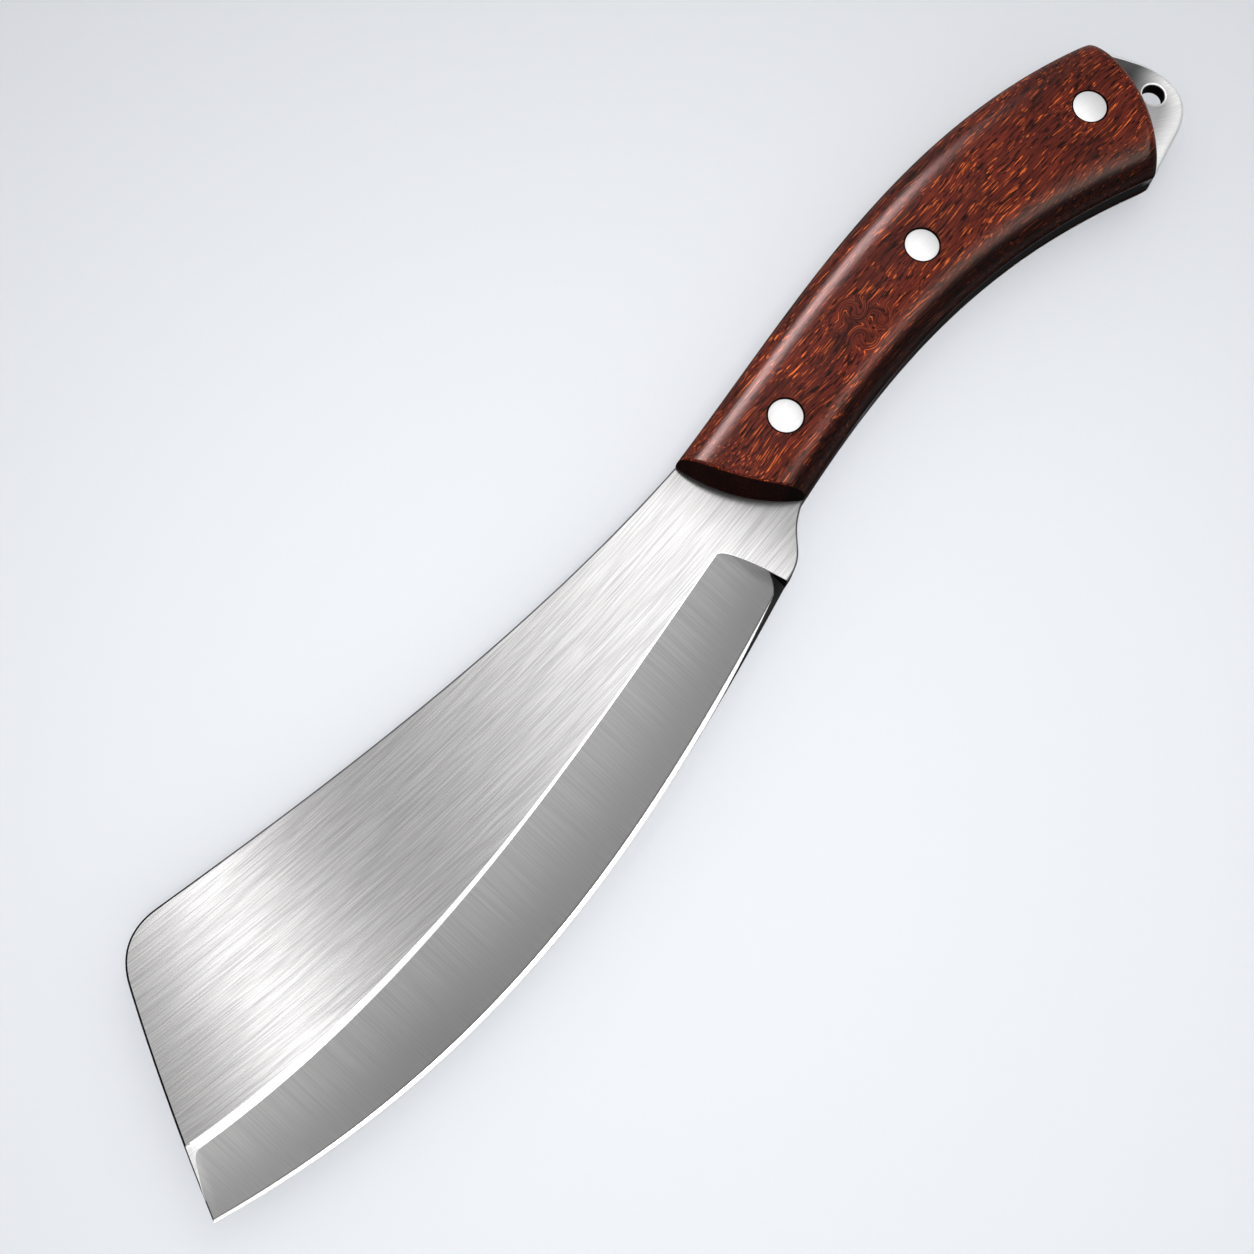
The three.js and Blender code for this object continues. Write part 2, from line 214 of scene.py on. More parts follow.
@dataclass(frozen=True)
class HandlePlan:
    """The plan of the handle: the tang between the scales, and the bare butt behind them."""

    front_width: float = 25.0
    front_skew: float = 12.8
    length: float = 134.0
    rear_rise: float = 9.9
    rear_skew: float = 15.2
    rear_drop: float = 21.4
    back_arms: tuple[Arm, Arm] = (Arm(6.0, 45.0), Arm(158.0, 50.0))
    belly_arms: tuple[Arm, Arm] = (Arm(9.4, 44.0), Arm(157.4, 40.0))
    butt_reach: float = 8.2
    butt_belly_angle: float = 13.0
    butt_round: float = 9.8
    shoulder_drop: float = 9.6
    shoulder_inset: float = 1.6
    hole_bore: float = 5.2
    hole_from_end: float = 6.5
    hole_from_corner: float = 7.4
    side_steps: int = 18
    turn_steps: int = 22
    belly_steps: int = 10

    @cached_property
    def back(self) -> Route:
        """Return the curve of the handle's back, from the front to the rear."""
        start = Vector((-self.front_skew / 2, self.front_width / 2))
        return Route.eased(start, Vector((self.length, self.rear_rise)), self.back_arms)

    @cached_property
    def belly(self) -> Route:
        """Trace the handle's belly.

        Returns:
            The curve from the front to the rear.
        """
        start = Vector((self.front_skew / 2, -self.front_width / 2))
        end = Vector((self.length - self.rear_skew, -self.rear_drop))
        return Route.eased(start, end, self.belly_arms)

    @cached_property
    def butt_corner(self) -> Vector:
        """Return the corner of the butt before it is rounded."""
        run = (self.rear_skew + self.butt_reach) / math.cos(math.radians(self.butt_belly_angle))
        return Arm(self.butt_belly_angle, run).end(self.belly.at(self.belly.length))

    @property
    def hole(self) -> Vector:
        """Return the centre of the hanging hole."""
        return self.butt_corner + Vector((-self.hole_from_end, self.hole_from_corner))

    def pair(self, share: float) -> tuple[Vector, Vector]:
        """Return the points of the back and the belly at a share of the handle's length."""
        return self.back.at(share * self.back.length), self.belly.at(share * self.belly.length)

    def butt_outline(self) -> list[Vector]:
        """Trace the bare butt.

        Returns:
            The points from the rear end of the back round to the rear end of the belly.
        """
        corner = self.butt_corner
        top, bottom = self.pair(1.0)
        shoulder = Vector((corner.x - self.shoulder_inset, top.y - self.shoulder_drop))
        round_start = corner + (shoulder - corner).normalized() * self.butt_round
        round_end = Arm(180.0 + self.butt_belly_angle, self.butt_round).end(corner)
        side = Route.rounded(top, shoulder, round_start).spread(self.side_steps)
        turn = Route.rounded(round_start, corner, round_end).spread(self.turn_steps)
        return side + turn[1:] + Route([round_end, bottom]).spread(self.belly_steps)[1:]


@dataclass(frozen=True)
class BladePlan:
    """The plan of the blade, from the handle's front end to the tip."""

    handle: HandlePlan
    stock: float = 5.0
    length: float = 184.0
    tip_drop: float = 23.0
    tip_rake: float = 27.0
    tip_rise: float = 29.5
    tip_round: float = 10.0
    tip_bow: float = 1.2
    spine_arms: tuple[Arm, Arm] = (Arm(-10.9, 45.0), Arm(181.7, 48.0))
    heel_setback: float = 9.6
    heel_drop: float = 21.6
    edge_arms: tuple[Arm, Arm] = (Arm(193.0, 60.0), Arm(-19.0, 66.0))
    neck_arms: tuple[Arm, Arm] = (Arm(200.0, 9.9), Arm(6.0, 8.6))
    bevel_heel_width: float = 15.5
    bevel_heel_lean: float = 1.5
    bevel_tip_width: float = 13.5
    bevel_arms: tuple[Arm, Arm] = (Arm(187.7, 61.0), Arm(-12.3, 56.0))

    @property
    def tip(self) -> Vector:
        """Return the low corner of the blade's end, where the edge stops."""
        return Vector((-self.length, -self.tip_drop))

    @property
    def tip_corner(self) -> Vector:
        """Return the high corner of the blade's end before it is rounded."""
        return Vector((-self.length + self.tip_rake, self.tip_rise))

    @property
    def heel(self) -> Vector:
        """Return the point where the edge stops by the handle."""
        return Vector((-self.heel_setback, -self.heel_drop))

    @property
    def tip_middle(self) -> Vector:
        """Return the point that bows the blade's end outwards."""
        slope = (self.tip - self.tip_corner).normalized()
        return self.tip.lerp(self.tip_corner, 0.5) + Vector((slope.y, -slope.x)) * self.tip_bow

    @cached_property
    def tip_end(self) -> Route:
        """Return the blade's end, from the tip up to the rounded corner."""
        rise = (self.tip_middle - self.tip_corner).normalized()
        return Route.rounded(self.tip, self.tip_middle, self.tip_corner + rise * self.tip_round)

    @cached_property
    def corner_round(self) -> Route:
        """Return the rounded corner between the blade's end and the spine."""
        start = self.tip_end.at(self.tip_end.length)
        return Route.rounded(start, self.tip_corner, self.spine.at(0.0))

    @cached_property
    def spine(self) -> Route:
        """Return the spine, from the rounded corner to the handle."""
        start = Arm(self.spine_arms[0].angle, self.tip_round).end(self.tip_corner)
        return Route.eased(start, self.handle.back.at(0.0), self.spine_arms)

    @cached_property
    def edge(self) -> Route:
        """Return the cutting edge, from the heel to the tip."""
        return Route.eased(self.heel, self.tip, self.edge_arms)

    @cached_property
    def bevel(self) -> Route:
        """Return the upper border of the bevel, from the heel to the blade's end.

        Returns:
            The curve.
        """
        start = self.heel + Vector((-self.bevel_heel_lean, self.bevel_heel_width))
        rise = (self.tip_middle - self.tip).normalized()
        return Route.eased(start, self.tip + rise * self.bevel_tip_width, self.bevel_arms)

    @cached_property
    def neck(self) -> Route:
        """Return the hollow of the neck, from the handle's belly to the heel."""
        return Route.eased(self.handle.belly.at(0.0), self.heel, self.neck_arms)

    def low_corner(self) -> Vector:
        """Return the lowest X and Y that the plate reaches."""
        points = self.tip_end.points + self.edge.points + self.handle.butt_outline()
        return Vector((min(point.x for point in points), min(point.y for point in points)))


@dataclass(frozen=True)
class Placement:
    """Where the plan lies in the frame: its origin in metres."""

    origin: Vector

    @classmethod
    def of(cls, plan: BladePlan) -> "Placement":
        """Lay the plan over the blade of the frame.

        Args:
            plan: The plan of the blade.

        Returns:
            The place of the plan.
        """
        low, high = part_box("blade")
        corner = plan.low_corner() * MM
        return cls(Vector((low.x - corner.x, low.y - corner.y, (low.z + high.z) / 2)))

    @property
    def matrix(self) -> Matrix:
        """Return the transform from plan millimetres to metres in the frame."""
        return Matrix.Translation(self.origin) @ Matrix.Scale(MM, 4)

    def plan_of(self, node: str) -> Vector:
        """Return the plan point under the middle of a node."""
        low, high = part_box(node)
        return ((low + high) / 2 - self.origin).to_2d() / MM

    def heights_of(self, node: str) -> Pair:
        """Return the lowest and highest height of a node, in millimetres from the middle plane."""
        low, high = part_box(node)
        return (low.z - self.origin.z) / MM, (high.z - self.origin.z) / MM

    def coordinate(self, tree: Tree) -> Node:
        """Add the coordinate that counts plan millimetres and heights.

        Args:
            tree: The node tree of a material.

        Returns:
            The node whose first output is the coordinate.
        """
        places = {
            "Vector": add_node(tree, "TexCoord").outputs["Object"],
            "Location": self.origin,
            "Scale": (MM, MM, MM),
        }
        return add_node(tree, "Mapping", places, vector_type="TEXTURE")


class Lay(Enum):
    """The direction of the strokes on brushed steel."""

    ALONG = "along the blade"
    ACROSS = "across the grind"
    FANNED = "fanned out from the handle"
    PLAIN = "straight"


class Way(IntEnum):
    """What a fade runs along."""

    LENGTH = 0
    WIDTH = 1
    GRIND = 2


@dataclass(frozen=True)
class Fade:
    """A tone that falls off, which paints shade and light onto the steel.

    Along the grind it is counted from 0 at the edge to 1, 2 and 3 where the bevel, the shoulder and the
    flat begin. On the butt that is the distance from its rim, and else a fade runs in plan millimetres.
    """

    way: Way
    start: float
    end: float
    left: float


@dataclass(frozen=True)
class BrushedSteel:
    """Stainless steel, brushed with an abrasive belt: fine parallel strokes that blur what it mirrors.

    The strokes are drawn a few times wider than a belt leaves them, so that they show in the picture.
    """

    name: str
    dark: str
    light: str
    roughness: float
    lay: Lay = Lay.ALONG
    stroke_width: float = 0.25
    stroke_length: float = 40.0
    stroke_depth: float = 0.002
    pull: float = 0.9
    bend: float = 0.00067
    bend_start: float = -40.0
    fan_centre: Pair = (100.0, 4.0)
    fan_reach: float = 36.0
    fades: tuple[Fade, ...] = ()
    broad_share: float = 0.2
    broad_scale: float = 0.22
    grind_scale: float = 0.8
    tone_limits: Pair = (0.32, 0.68)
    matt_limits: Pair = (0.3, 0.7)
    matt_play: float = 0.06

    def strokes(self, tree: Tree, place: Placement) -> tuple[Node, Node]:
        """Lay the strokes.

        Args:
            tree: The node tree of the material.
            place: Where the plan lies in the frame.

        Returns:
            The coordinate that counts stroke lengths and stroke widths, and the direction across the
            strokes.
        """
        add = partial(add_node, tree)
        if self.lay is Lay.ACROSS:
            stretch = (1 / self.stroke_width, self.grind_scale, 1.0)
            laid = add("VectorMath", (add("TexCoord").outputs["UV"], stretch), operation="MULTIPLY")
            return laid, add("Tangent", direction_type="UV_MAP", uv_map="grind")
        x, y, z = add("SeparateXYZ", [place.coordinate(tree)]).outputs
        across = y
        aside = (0.0, 1.0)
        if self.lay is Lay.ALONG:
            past = add("Math", (x, self.bend_start), operation="SUBTRACT")
            square = add("Math", (past, past), operation="MULTIPLY")
            across = add("Math", (square, -self.bend, y), operation="MULTIPLY_ADD")
            aside = (add("Math", (past, -2 * self.bend), operation="MULTIPLY"), 1.0)
        if self.lay is Lay.FANNED:
            reach = add("Math", (x, self.fan_centre[0]), operation="SUBTRACT")
            rise = add("Math", (y, self.fan_centre[1]), operation="SUBTRACT")
            turn = add("Math", (rise, reach), operation="ARCTAN2")
            across = add("Math", (turn, self.fan_reach), operation="MULTIPLY")
            aside = (add("Math", (rise, -1.0), operation="MULTIPLY"), reach)
        stretch = (1 / self.stroke_length, 1 / self.stroke_width, 1 / self.stroke_width)
        laid = add("VectorMath", (add("CombineXYZ", (x, across, z)), stretch), operation="MULTIPLY")
        return laid, add("CombineXYZ", aside)

    def faded(self, tree: Tree, tone: Output, place: Placement) -> Output:
        """Let the tone fall off, which paints shade and light onto it.

        Args:
            tree: The node tree of the material.
            tone: The even tone.
            place: Where the plan lies in the frame.

        Returns:
            The tone that is left.
        """
        add = partial(add_node, tree)
        for fade in self.fades:
            ground = fade.way is Way.GRIND
            spot = add("UVMap", uv_map="grind") if ground else place.coordinate(tree)
            run = add("SeparateXYZ", [spot]).outputs[min(fade.way, Way.WIDTH)]
            limits = (run, fade.start, fade.end, 1.0, fade.left)
            left = add("MapRange", limits, interpolation_type="SMOOTHSTEP")
            tone = add("VectorMath", {0: tone, "Scale": left}, operation="SCALE")
        return tone

    def material(self, place: Placement) -> bpy.types.Material:
        """Make the material.

        Args:
            place: Where the plan lies in the frame.

        Returns:
            The material.
        """
        material, tree = new_material(self.name)
        add = partial(add_node, tree)
        laid, aside = self.strokes(tree, place)
        wide = add("VectorMath", {0: laid, "Scale": self.broad_scale}, operation="SCALE")
        noise = {"Scale": 1.0, "Detail": 2.0}
        fine = add("TexNoise", {"Vector": laid, **noise})
        broad = add("TexNoise", {"Vector": wide, **noise})
        both = add("Mix", {0: self.broad_share, 2: fine, 3: broad}, data_type="FLOAT")
        share = add("MapRange", (both, *self.tone_limits))
        colours = {0: share, 6: linear(self.dark), 7: linear(self.light)}
        tone = add("Mix", colours, data_type="RGBA").outputs[2]
        ends = [self.roughness * (1 + play) for play in (self.matt_play, -self.matt_play)]
        relief = {"Strength": 1.0, "Distance": self.stroke_depth * MM, "Height": broad}
        finish = {
            "Base Color": self.faded(tree, tone, place),
            "Metallic": 1.0,
            "Roughness": add("MapRange", (both, *self.matt_limits, *ends)),
            "Anisotropic": self.pull,
            "Tangent": aside,
            "Normal": add("Bump", relief),
        }
        add("OutputMaterial", [add("BsdfPrincipled", finish)])
        return material


@dataclass(frozen=True)
class PalmWood:
    """Red palm wood, sanded and oiled: dark brown with short bright fibre bundles cut along the grain.

    The sizes of the figures are their length and width, and the limits are where a figure's noise begins
    to show and where it shows fully.
    """

    name: str
    deep: str
    warm: str
    fleck: str
    shadow: str
    roughness: float = 0.25
    gloss: float = 0.05
    # Painted shade: the share of the colour left at the belly rim, and where it darkens across the handle.
    painted_belly_shade: float = 0.13
    painted_belly_shade_limits: Pair = (0.09, 0.2)
    streak: Pair = (9.0, 0.5)
    patch: Pair = (14.0, 5.0)
    patch_share: float = 0.35
    ground_limits: Pair = (0.36, 0.64)
    dash: Pair = (3.4, 0.46)
    dash_limits: Pair = (0.55, 0.61)
    dash_strength: float = 0.9
    bundle: Pair = (6.5, 0.3)
    bundle_limits: Pair = (0.63, 0.67)
    glow_limits: Pair = (0.35, 0.6)
    glow_least: float = 0.4
    matt_play: float = 0.25
    relief: float = 0.02
    wave: float = 4.4
    wave_length: float = 22.0
    knots: tuple[Pair, ...] = ((43.8, 6.3), (46.2, 1.3), (40.8, 0.6))
    knot_height: float = 10.0
    knot_reach: float = 4.0
    knot_turn: float = 3.0

    def grain(self, tree: Tree, place: Placement) -> Node:
        """Lay the grain: plan millimetres, a little wavy and swirled about a few pin knots.

        Args:
            tree: The node tree of the material.
            place: Where the plan lies in the frame.

        Returns:
            The node with the coordinate.
        """
        add = partial(add_node, tree)
        spot = place.coordinate(tree)
        for knot in self.knots:
            centre = (*knot, self.knot_height)
            away = add("VectorMath", (spot, centre), operation="DISTANCE").outputs["Value"]
            limits = (away, 0.0, self.knot_reach, self.knot_turn, 0.0)
            turn = add("MapRange", limits, interpolation_type="SMOOTHSTEP")
            swirl = {"Vector": spot, "Center": centre, "Angle": turn}
            spot = add("VectorRotate", swirl, rotation_type="Z_AXIS")
        noise = add("TexNoise", {"Vector": spot, "Scale": 1 / self.wave_length, "Detail": 1.0})
        centred = add("VectorMath", (noise.outputs["Color"], (0.5, 0.5, 0.5)), operation="SUBTRACT")
        return add("VectorMath", (centred, (0.0, self.wave, self.wave), spot), operation="MULTIPLY_ADD")

    def paint_belly_shade(self, tree: Tree) -> Node:
        """Paint shade on the belly: darken the wood towards the belly rim.

        Args:
            tree: The node tree of the material.

        Returns:
            The node with the share of the colour that is left.
        """
        across = add_node(tree, "SeparateXYZ", [add_node(tree, "UVMap", uv_map="handle")]).outputs[1]
        limits = (across, *self.painted_belly_shade_limits, self.painted_belly_shade, 1.0)
        return add_node(tree, "MapRange", limits, interpolation_type="SMOOTHSTEP")

    def figure(self, tree: Tree, grain: Node, size: Pair, shift: float, detail: float) -> Node:
        """Draw one figure of the wood, stretched along the grain.

        Args:
            tree: The node tree of the material.
            grain: The node with the grain's coordinate.
            size: The length and the width of the marks.
            shift: How far the pattern is moved, so that no two figures agree.
            detail: How many finer layers the marks have.

        Returns:
            The node with the figure, from 0 to 1.
        """
        stretch = (1 / size[0], 1 / size[1], 1 / size[1])
        laid = add_node(tree, "VectorMath", (grain, stretch, (shift,) * 3), operation="MULTIPLY_ADD")
        return add_node(tree, "TexNoise", {"Vector": laid, "Scale": 1.0, "Detail": detail})

    def material(self, place: Placement) -> bpy.types.Material:
        """Make the material.

        Args:
            place: Where the plan lies in the frame.

        Returns:
            The material.
        """
        material, tree = new_material(self.name)
        add = partial(add_node, tree)
        grain = self.grain(tree, place)
        streaks = self.figure(tree, grain, self.streak, shift=0.0, detail=4.0)
        patches = self.figure(tree, grain, self.patch, shift=11.7, detail=2.0)
        dashes = self.figure(tree, grain, self.dash, shift=31.3, detail=2.0)
        bundles = self.figure(tree, grain, self.bundle, shift=57.9, detail=2.0)
        both = add("Mix", {0: self.patch_share, 2: streaks, 3: patches}, data_type="FLOAT")
        depth = add("MapRange", (both, *self.ground_limits))
        dashed = add("MapRange", (dashes, *self.dash_limits, 0.0, self.dash_strength))
        bright = add("MapRange", (bundles, *self.bundle_limits))
        glow = add("MapRange", (patches, *self.glow_limits, self.glow_least, 1.0))
        shown = add("Math", (bright, glow), operation="MULTIPLY")
        colour = linear(self.deep)
        for share, over in ((depth, self.warm), (dashed, self.shadow), (shown, self.fleck)):
            colour = add("Mix", {0: share, 6: colour, 7: linear(over)}, data_type="RGBA").outputs[2]
        ends = [self.roughness * (1 + play) for play in (self.matt_play, -self.matt_play)]
        relief = {"Strength": 1.0, "Distance": self.relief * MM, "Height": both}
        finish = {
            # The colour is darkened towards the belly with painted shade.
            "Base Color": add("VectorMath", {0: colour, "Scale": self.paint_belly_shade(tree)}, operation="SCALE"),
            "Roughness": add("MapRange", (streaks, 0.0, 1.0, *ends)),
            "Specular IOR Level": self.gloss,
            "Normal": add("Bump", relief),
        }
        add("OutputMaterial", [add("BsdfPrincipled", finish)])
        return material


@dataclass(frozen=True)
class LitPaper:
    """Matt backdrop paper on a light table: an even pale tone with no gloss and faint shadows, and a
    painted pool of light, a glow brightest round the cleaver that fades outwards.
    """

    name: str
    tone: str
    glow: str
    painted_pool_centre: Triple = (-0.03, -0.07, 0.0)
    painted_pool_reach: Pair = (0.08, 0.4)
    painted_pool_shares: Pair = (1.06, 0.44)
    roughness: float = 0.95

    def material(self) -> bpy.types.Material:
        """Make the material.

        Returns:
            The material.
        """
        material, tree = new_material(self.name)
        add = partial(add_node, tree)
        spot = add("TexCoord").outputs["Object"]
        away = add("VectorMath", (spot, self.painted_pool_centre), operation="DISTANCE").outputs["Value"]
        limits = (away, *self.painted_pool_reach, *self.painted_pool_shares)
        finish = {
            "Base Color": linear(self.tone),
            "Roughness": self.roughness,
            "Specular IOR Level": 0.0,
            "Emission Color": linear(self.glow),
            # Painted pool of light: the glow falls off with the distance from its centre.
            "Emission Strength": add("MapRange", limits, interpolation_type="SMOOTHSTEP"),
        }
        add("OutputMaterial", [add("BsdfPrincipled", finish)])
        return material


class Zone(IntEnum):
    """The finishes on the plate, in the order of its material slots."""

    FLAT = 0
    SHOULDER = 1
    BEVEL = 2
    EDGE = 3
    RIM = 4
    BUTT = 5
    TANG = 6
    SEAM = 7
    BORE = 8
    CHAMFER = 9
    HONE = 10
    LINE = 11


def border(bm: Mesh, first: int, second: int) -> Edges:
    """Return the edges between two finishes."""
    wanted = {int(first), int(second)}
    return [edge for edge in bm.edges if {face.material_index for face in edge.link_faces} == wanted]


def pierced_face(bm: Mesh, outline: list[Vector], hole: Edges, finish: int) -> None:
    """Fill a flat outline that has one hole.

    Args:
        bm: The mesh that takes the faces.
        outline: The points of the outline, in order.
        hole: The edges round the hole.
        finish: The material index of the faces.
    """
    corners = [bm.verts.new(point) for point in outline]
    rim = [bm.edges.new(ends) for ends in pairwise(corners + corners[:1])]
    for face in bmesh.ops.bridge_loops(bm, edges=rim + hole)["faces"]:
        face.material_index = finish


def ring(bm: Mesh, centre: Vector, radius: float, segments: int) -> Edges:
    """Draw a level circle.

    Args:
        bm: The mesh that takes the circle.
        centre: The centre of the circle.
        radius: Its radius.
        segments: The number of its edges.

    Returns:
        The edges of the circle.
    """
    spot = Matrix.Translation(centre)
    circle = bmesh.ops.create_circle(bm, cap_ends=False, segments=segments, radius=radius, matrix=spot)
    return list({edge for vert in circle["verts"] for edge in vert.link_edges})


def bend_grid(bm: Mesh, rows: list[list[Vector]]) -> Spots:
    """Bend a grid over rows of points.

    Args:
        bm: The mesh that takes the grid.
        rows: The points of each row, the same number in each.

    Returns:
        The row of each vertex and its place in the row.
    """
    long = len(rows) - 1
    wide = len(rows[0]) - 1
    made = bmesh.ops.create_grid(bm, x_segments=long, y_segments=wide, size=1.0)
    spots = {}
    for vert in made["verts"]:
        row = round((vert.co.x + 1) / 2 * long)
        column = round((vert.co.y + 1) / 2 * wide)
        vert.co = rows[row][column]
        spots[vert] = (row, column)
    return spots


def pull(bm: Mesh, edges: Edges, finish: int) -> tuple[Verts, Edges]:
    """Extrude edges into a wall.

    Args:
        bm: The mesh.
        edges: The edges to extrude.
        finish: The material index of the wall.

    Returns:
        The vertices and the edges at the wall's free end, still in their old place.
    """
    made = bmesh.ops.extrude_edge_only(bm, edges=edges)["geom"]
    verts = [item for item in made if isinstance(item, bmesh.types.BMVert)]
    for item in made:
        if isinstance(item, bmesh.types.BMFace):
            item.material_index = finish
    moved = set(verts)
    ends = [item for item in made if isinstance(item, bmesh.types.BMEdge) and set(item.verts) <= moved]
    return verts, ends


def finish_piece(bm: Mesh, name: str, place: Placement, sharp_angle: float) -> Piece:
    """Turn a mesh in plan millimetres into a smooth-shaded piece in the frame.

    Args:
        bm: The mesh, which is freed.
        name: The name of the piece.
        place: Where the plan lies in the frame.
        sharp_angle: The angle in degrees past which an edge is shaded sharp.

    Returns:
        The new object.
    """
    bmesh.ops.recalc_face_normals(bm, faces=bm.faces[:])
    for edge in bm.edges:
        if len(edge.link_faces) == 2 and edge.calc_face_angle() > math.radians(sharp_angle):
            edge.smooth = False
    for face in bm.faces:
        face.smooth = True
    bmesh.ops.transform(bm, matrix=place.matrix, verts=bm.verts[:])
    mesh = bpy.data.meshes.new(name)
    bm.to_mesh(mesh)
    bm.free()
    piece = bpy.data.objects.new(name, mesh)
    bpy.context.collection.objects.link(piece)
    evened = piece.modifiers.new("even normals", "WEIGHTED_NORMAL")
    evened.keep_sharp = True
    return piece


@dataclass
class Plate:
    """The steel plate: the ground blade, the neck, the tang and the rounded butt."""

    plan: BladePlan
    place: Placement
    node: str = "blade"
    slot: str = "blade_steel"
    sharp_angle: float = 30.0
    land: float = 0.15
    grind_heel_width: float = 1.25
    grind_tip_width: float = 0.68
    grind_ease: float = 0.7
    grind_angle: float = 27.0
    hone_start: float = 5.0
    hone_run: float = 42.0
    hone_least: float = 0.12
    hone_most: float = 0.999
    plunge_radius: float = 7.0
    heel_run: float = 0.7
    band_heel_width: float = 0.22
    band_tip_width: float = 2.1
    band_ease: float = 1.5
    band_tilt: float = 4.5
    tip_strip: float = 1.3
    tip_strip_stop: float = 5.0
    tip_cut_back: float = 1.6
    tip_roll: float = 0.12
    rim_round: float = 0.42
    tip_rim_round: float = 0.25
    butt_rim_round: float = 0.9
    butt_crown: float = 0.5
    crown_reach: float = 12.0
    seam_round: float = 0.25
    hole_round: float = 0.4
    rivet_bore: float = 5.3
    bore_turns: int = 40
    band_steps: int = 4
    bevel_steps: int = 3
    plunge_steps: int = 14
    edge_steps: int = 72
    corner_steps: int = 8
    crown_steps: int = 5
    end_steps: int = 24
    round_steps: int = 20
    spine_steps: int = 60
    neck_steps: int = 20
    rail_steps: int = 36
    rail_columns: int = 24
    cell_rails: tuple[int, ...] = (0, 11, 25, 36)

    @property
    def half(self) -> float:
        """Return half the thickness of the plate."""
        return self.plan.stock / 2

    @property
    def grind_slope(self) -> float:
        """Return the rise of the edge grind for each millimetre from the edge."""
        return math.tan(math.radians(self.grind_angle))

    @property
    def plunge_run(self) -> float:
        """Return the length along the edge over which the bevel runs out at the heel."""
        depth = self.half - self.land / 2 - self.grind_heel_width * self.grind_slope
        return math.sqrt(self.plunge_radius**2 - (self.plunge_radius - depth) ** 2)

    def ruler(self, run: float) -> tuple[Vector, Vector]:
        """Return the edge point at a length from the heel, and the bevel's upper border opposite it."""
        share = run / self.plan.edge.length
        return self.plan.edge.at(run), self.plan.bevel.at(share * self.plan.bevel.length)

    def hone_at(self, run: float) -> float:
        """Return the share of the edge grind that is honed away at a length from the heel."""
        left = min(max(1 - (run - self.hone_start) / self.hone_run, 0.0), self.hone_most)
        return max(left**2, self.hone_least)

    def profile(self, run: float, cut_back: float = 0.0) -> list[Pair]:
        """Work out the grind across the blade.

        Args:
            run: The length along the edge from the heel.
            cut_back: How far the bevel's upper border is moved towards the edge there.

        Returns:
            The distance from the edge and the height of each row, from the flat to the edge.
        """
        edge, inner = self.ruler(run)
        width = (inner - edge).length
        along = run / self.plan.edge.length
        band = blend(self.band_heel_width, self.band_tip_width, along**self.band_ease)
        dip = band * math.tan(math.radians(self.band_tilt)) / 2
        grind = blend(self.grind_heel_width, self.grind_tip_width, along**self.grind_ease)
        depth = self.half - self.land / 2 - grind * self.grind_slope
        slope = (depth - dip) / (width - grind)
        rest = max(0.0, self.plunge_run - run)
        lift = self.plunge_radius - math.sqrt(self.plunge_radius**2 - rest**2)
        top = self.half - dip
        grind_top = (top - self.land / 2) / self.grind_slope
        start = max(width - lift / slope, grind_top)
        crease = max(start - cut_back, grind_top)
        crease_height = min(top, top - slope * (width - crease) + lift)
        meet = (top - slope * width + lift - self.land / 2) / (self.grind_slope - slope)
        meet = min(meet, crease)
        meet_height = self.land / 2 + meet * self.grind_slope
        rows = []
        for step in range(self.band_steps + 1):
            share = step / self.band_steps
            rows.append((blend(start + band, crease, share), blend(self.half, crease_height, share**2)))
        for step in range(1, self.bevel_steps + 1):
            share = step / self.bevel_steps
            rows.append((blend(crease, meet, share), blend(crease_height, meet_height, share)))
        hone = meet * self.hone_at(run)
        return rows + [(hone, self.land / 2 + hone * self.grind_slope), (0.0, self.land / 2)]

    def station(self, run: float, cut_back: float = 0.0) -> list[Vector]:
        """Place the rows of the grind at a length along the edge.

        Args:
            run: The length along the edge from the heel.
            cut_back: How far the bevel's upper border is moved towards the edge there.

        Returns:
            The points from the flat to the edge.
        """
        edge, inner = self.ruler(run)
        across = (inner - edge).normalized()
        rows = self.profile(run, cut_back)
        return [Vector((*(edge + across * reach), height)) for reach, height in rows]

    def tip_stations(self) -> list[list[Vector]]:
        """Work out the bevel's last two rows of points, beside the blade's end and on it.

        Returns:
            The points beside the end, and the points on the end.
        """
        rows = self.profile(self.plan.edge.length, self.tip_cut_back)
        rise = (self.plan.tip_middle - self.plan.tip).normalized()
        inwards = Vector((rise.y, -rise.x))
        beside, outermost = [], []
        for index, (reach, height) in enumerate(rows):
            run = (reach - self.tip_strip_stop) / (self.plan.bevel_tip_width - self.tip_strip_stop)
            share = min(max(run, 0.0), 1.0)
            on_end = self.plan.tip_end.at(reach)
            within = on_end + inwards * self.tip_strip * share
            roll = self.tip_roll * share * min(1.0, index / self.band_steps)
            beside.append(Vector((*within, height)))
            outermost.append(Vector((*on_end, height - roll)))
        return [beside, outermost]

    def stations(self) -> list[list[Vector]]:
        """Work out the whole grind.

        Returns:
            The rows of points across the blade, from the heel to the blade's end.
        """
        length = self.plan.edge.length
        ratio = length / self.plan.bevel.length
        corner_start = length - (self.tip_strip + self.tip_cut_back) * ratio
        heel = Vector((*self.plan.heel, self.half))
        found = [[heel] * len(self.profile(length))]
        for step in range(self.plunge_steps):
            found.append(self.station(blend(self.heel_run, self.plunge_run, step / self.plunge_steps)))
        for step in range(self.edge_steps):
            found.append(self.station(blend(self.plunge_run, corner_start, step / self.edge_steps)))
        for step in range(self.corner_steps):
            turn = math.pi / 2 * step / self.corner_steps
            left = self.tip_cut_back * (1 - math.sin(turn))
            cut_back = self.tip_cut_back * (1 - math.cos(turn))
            found.append(self.station(length - (self.tip_strip + left) * ratio, cut_back))
        return found + self.tip_stations()

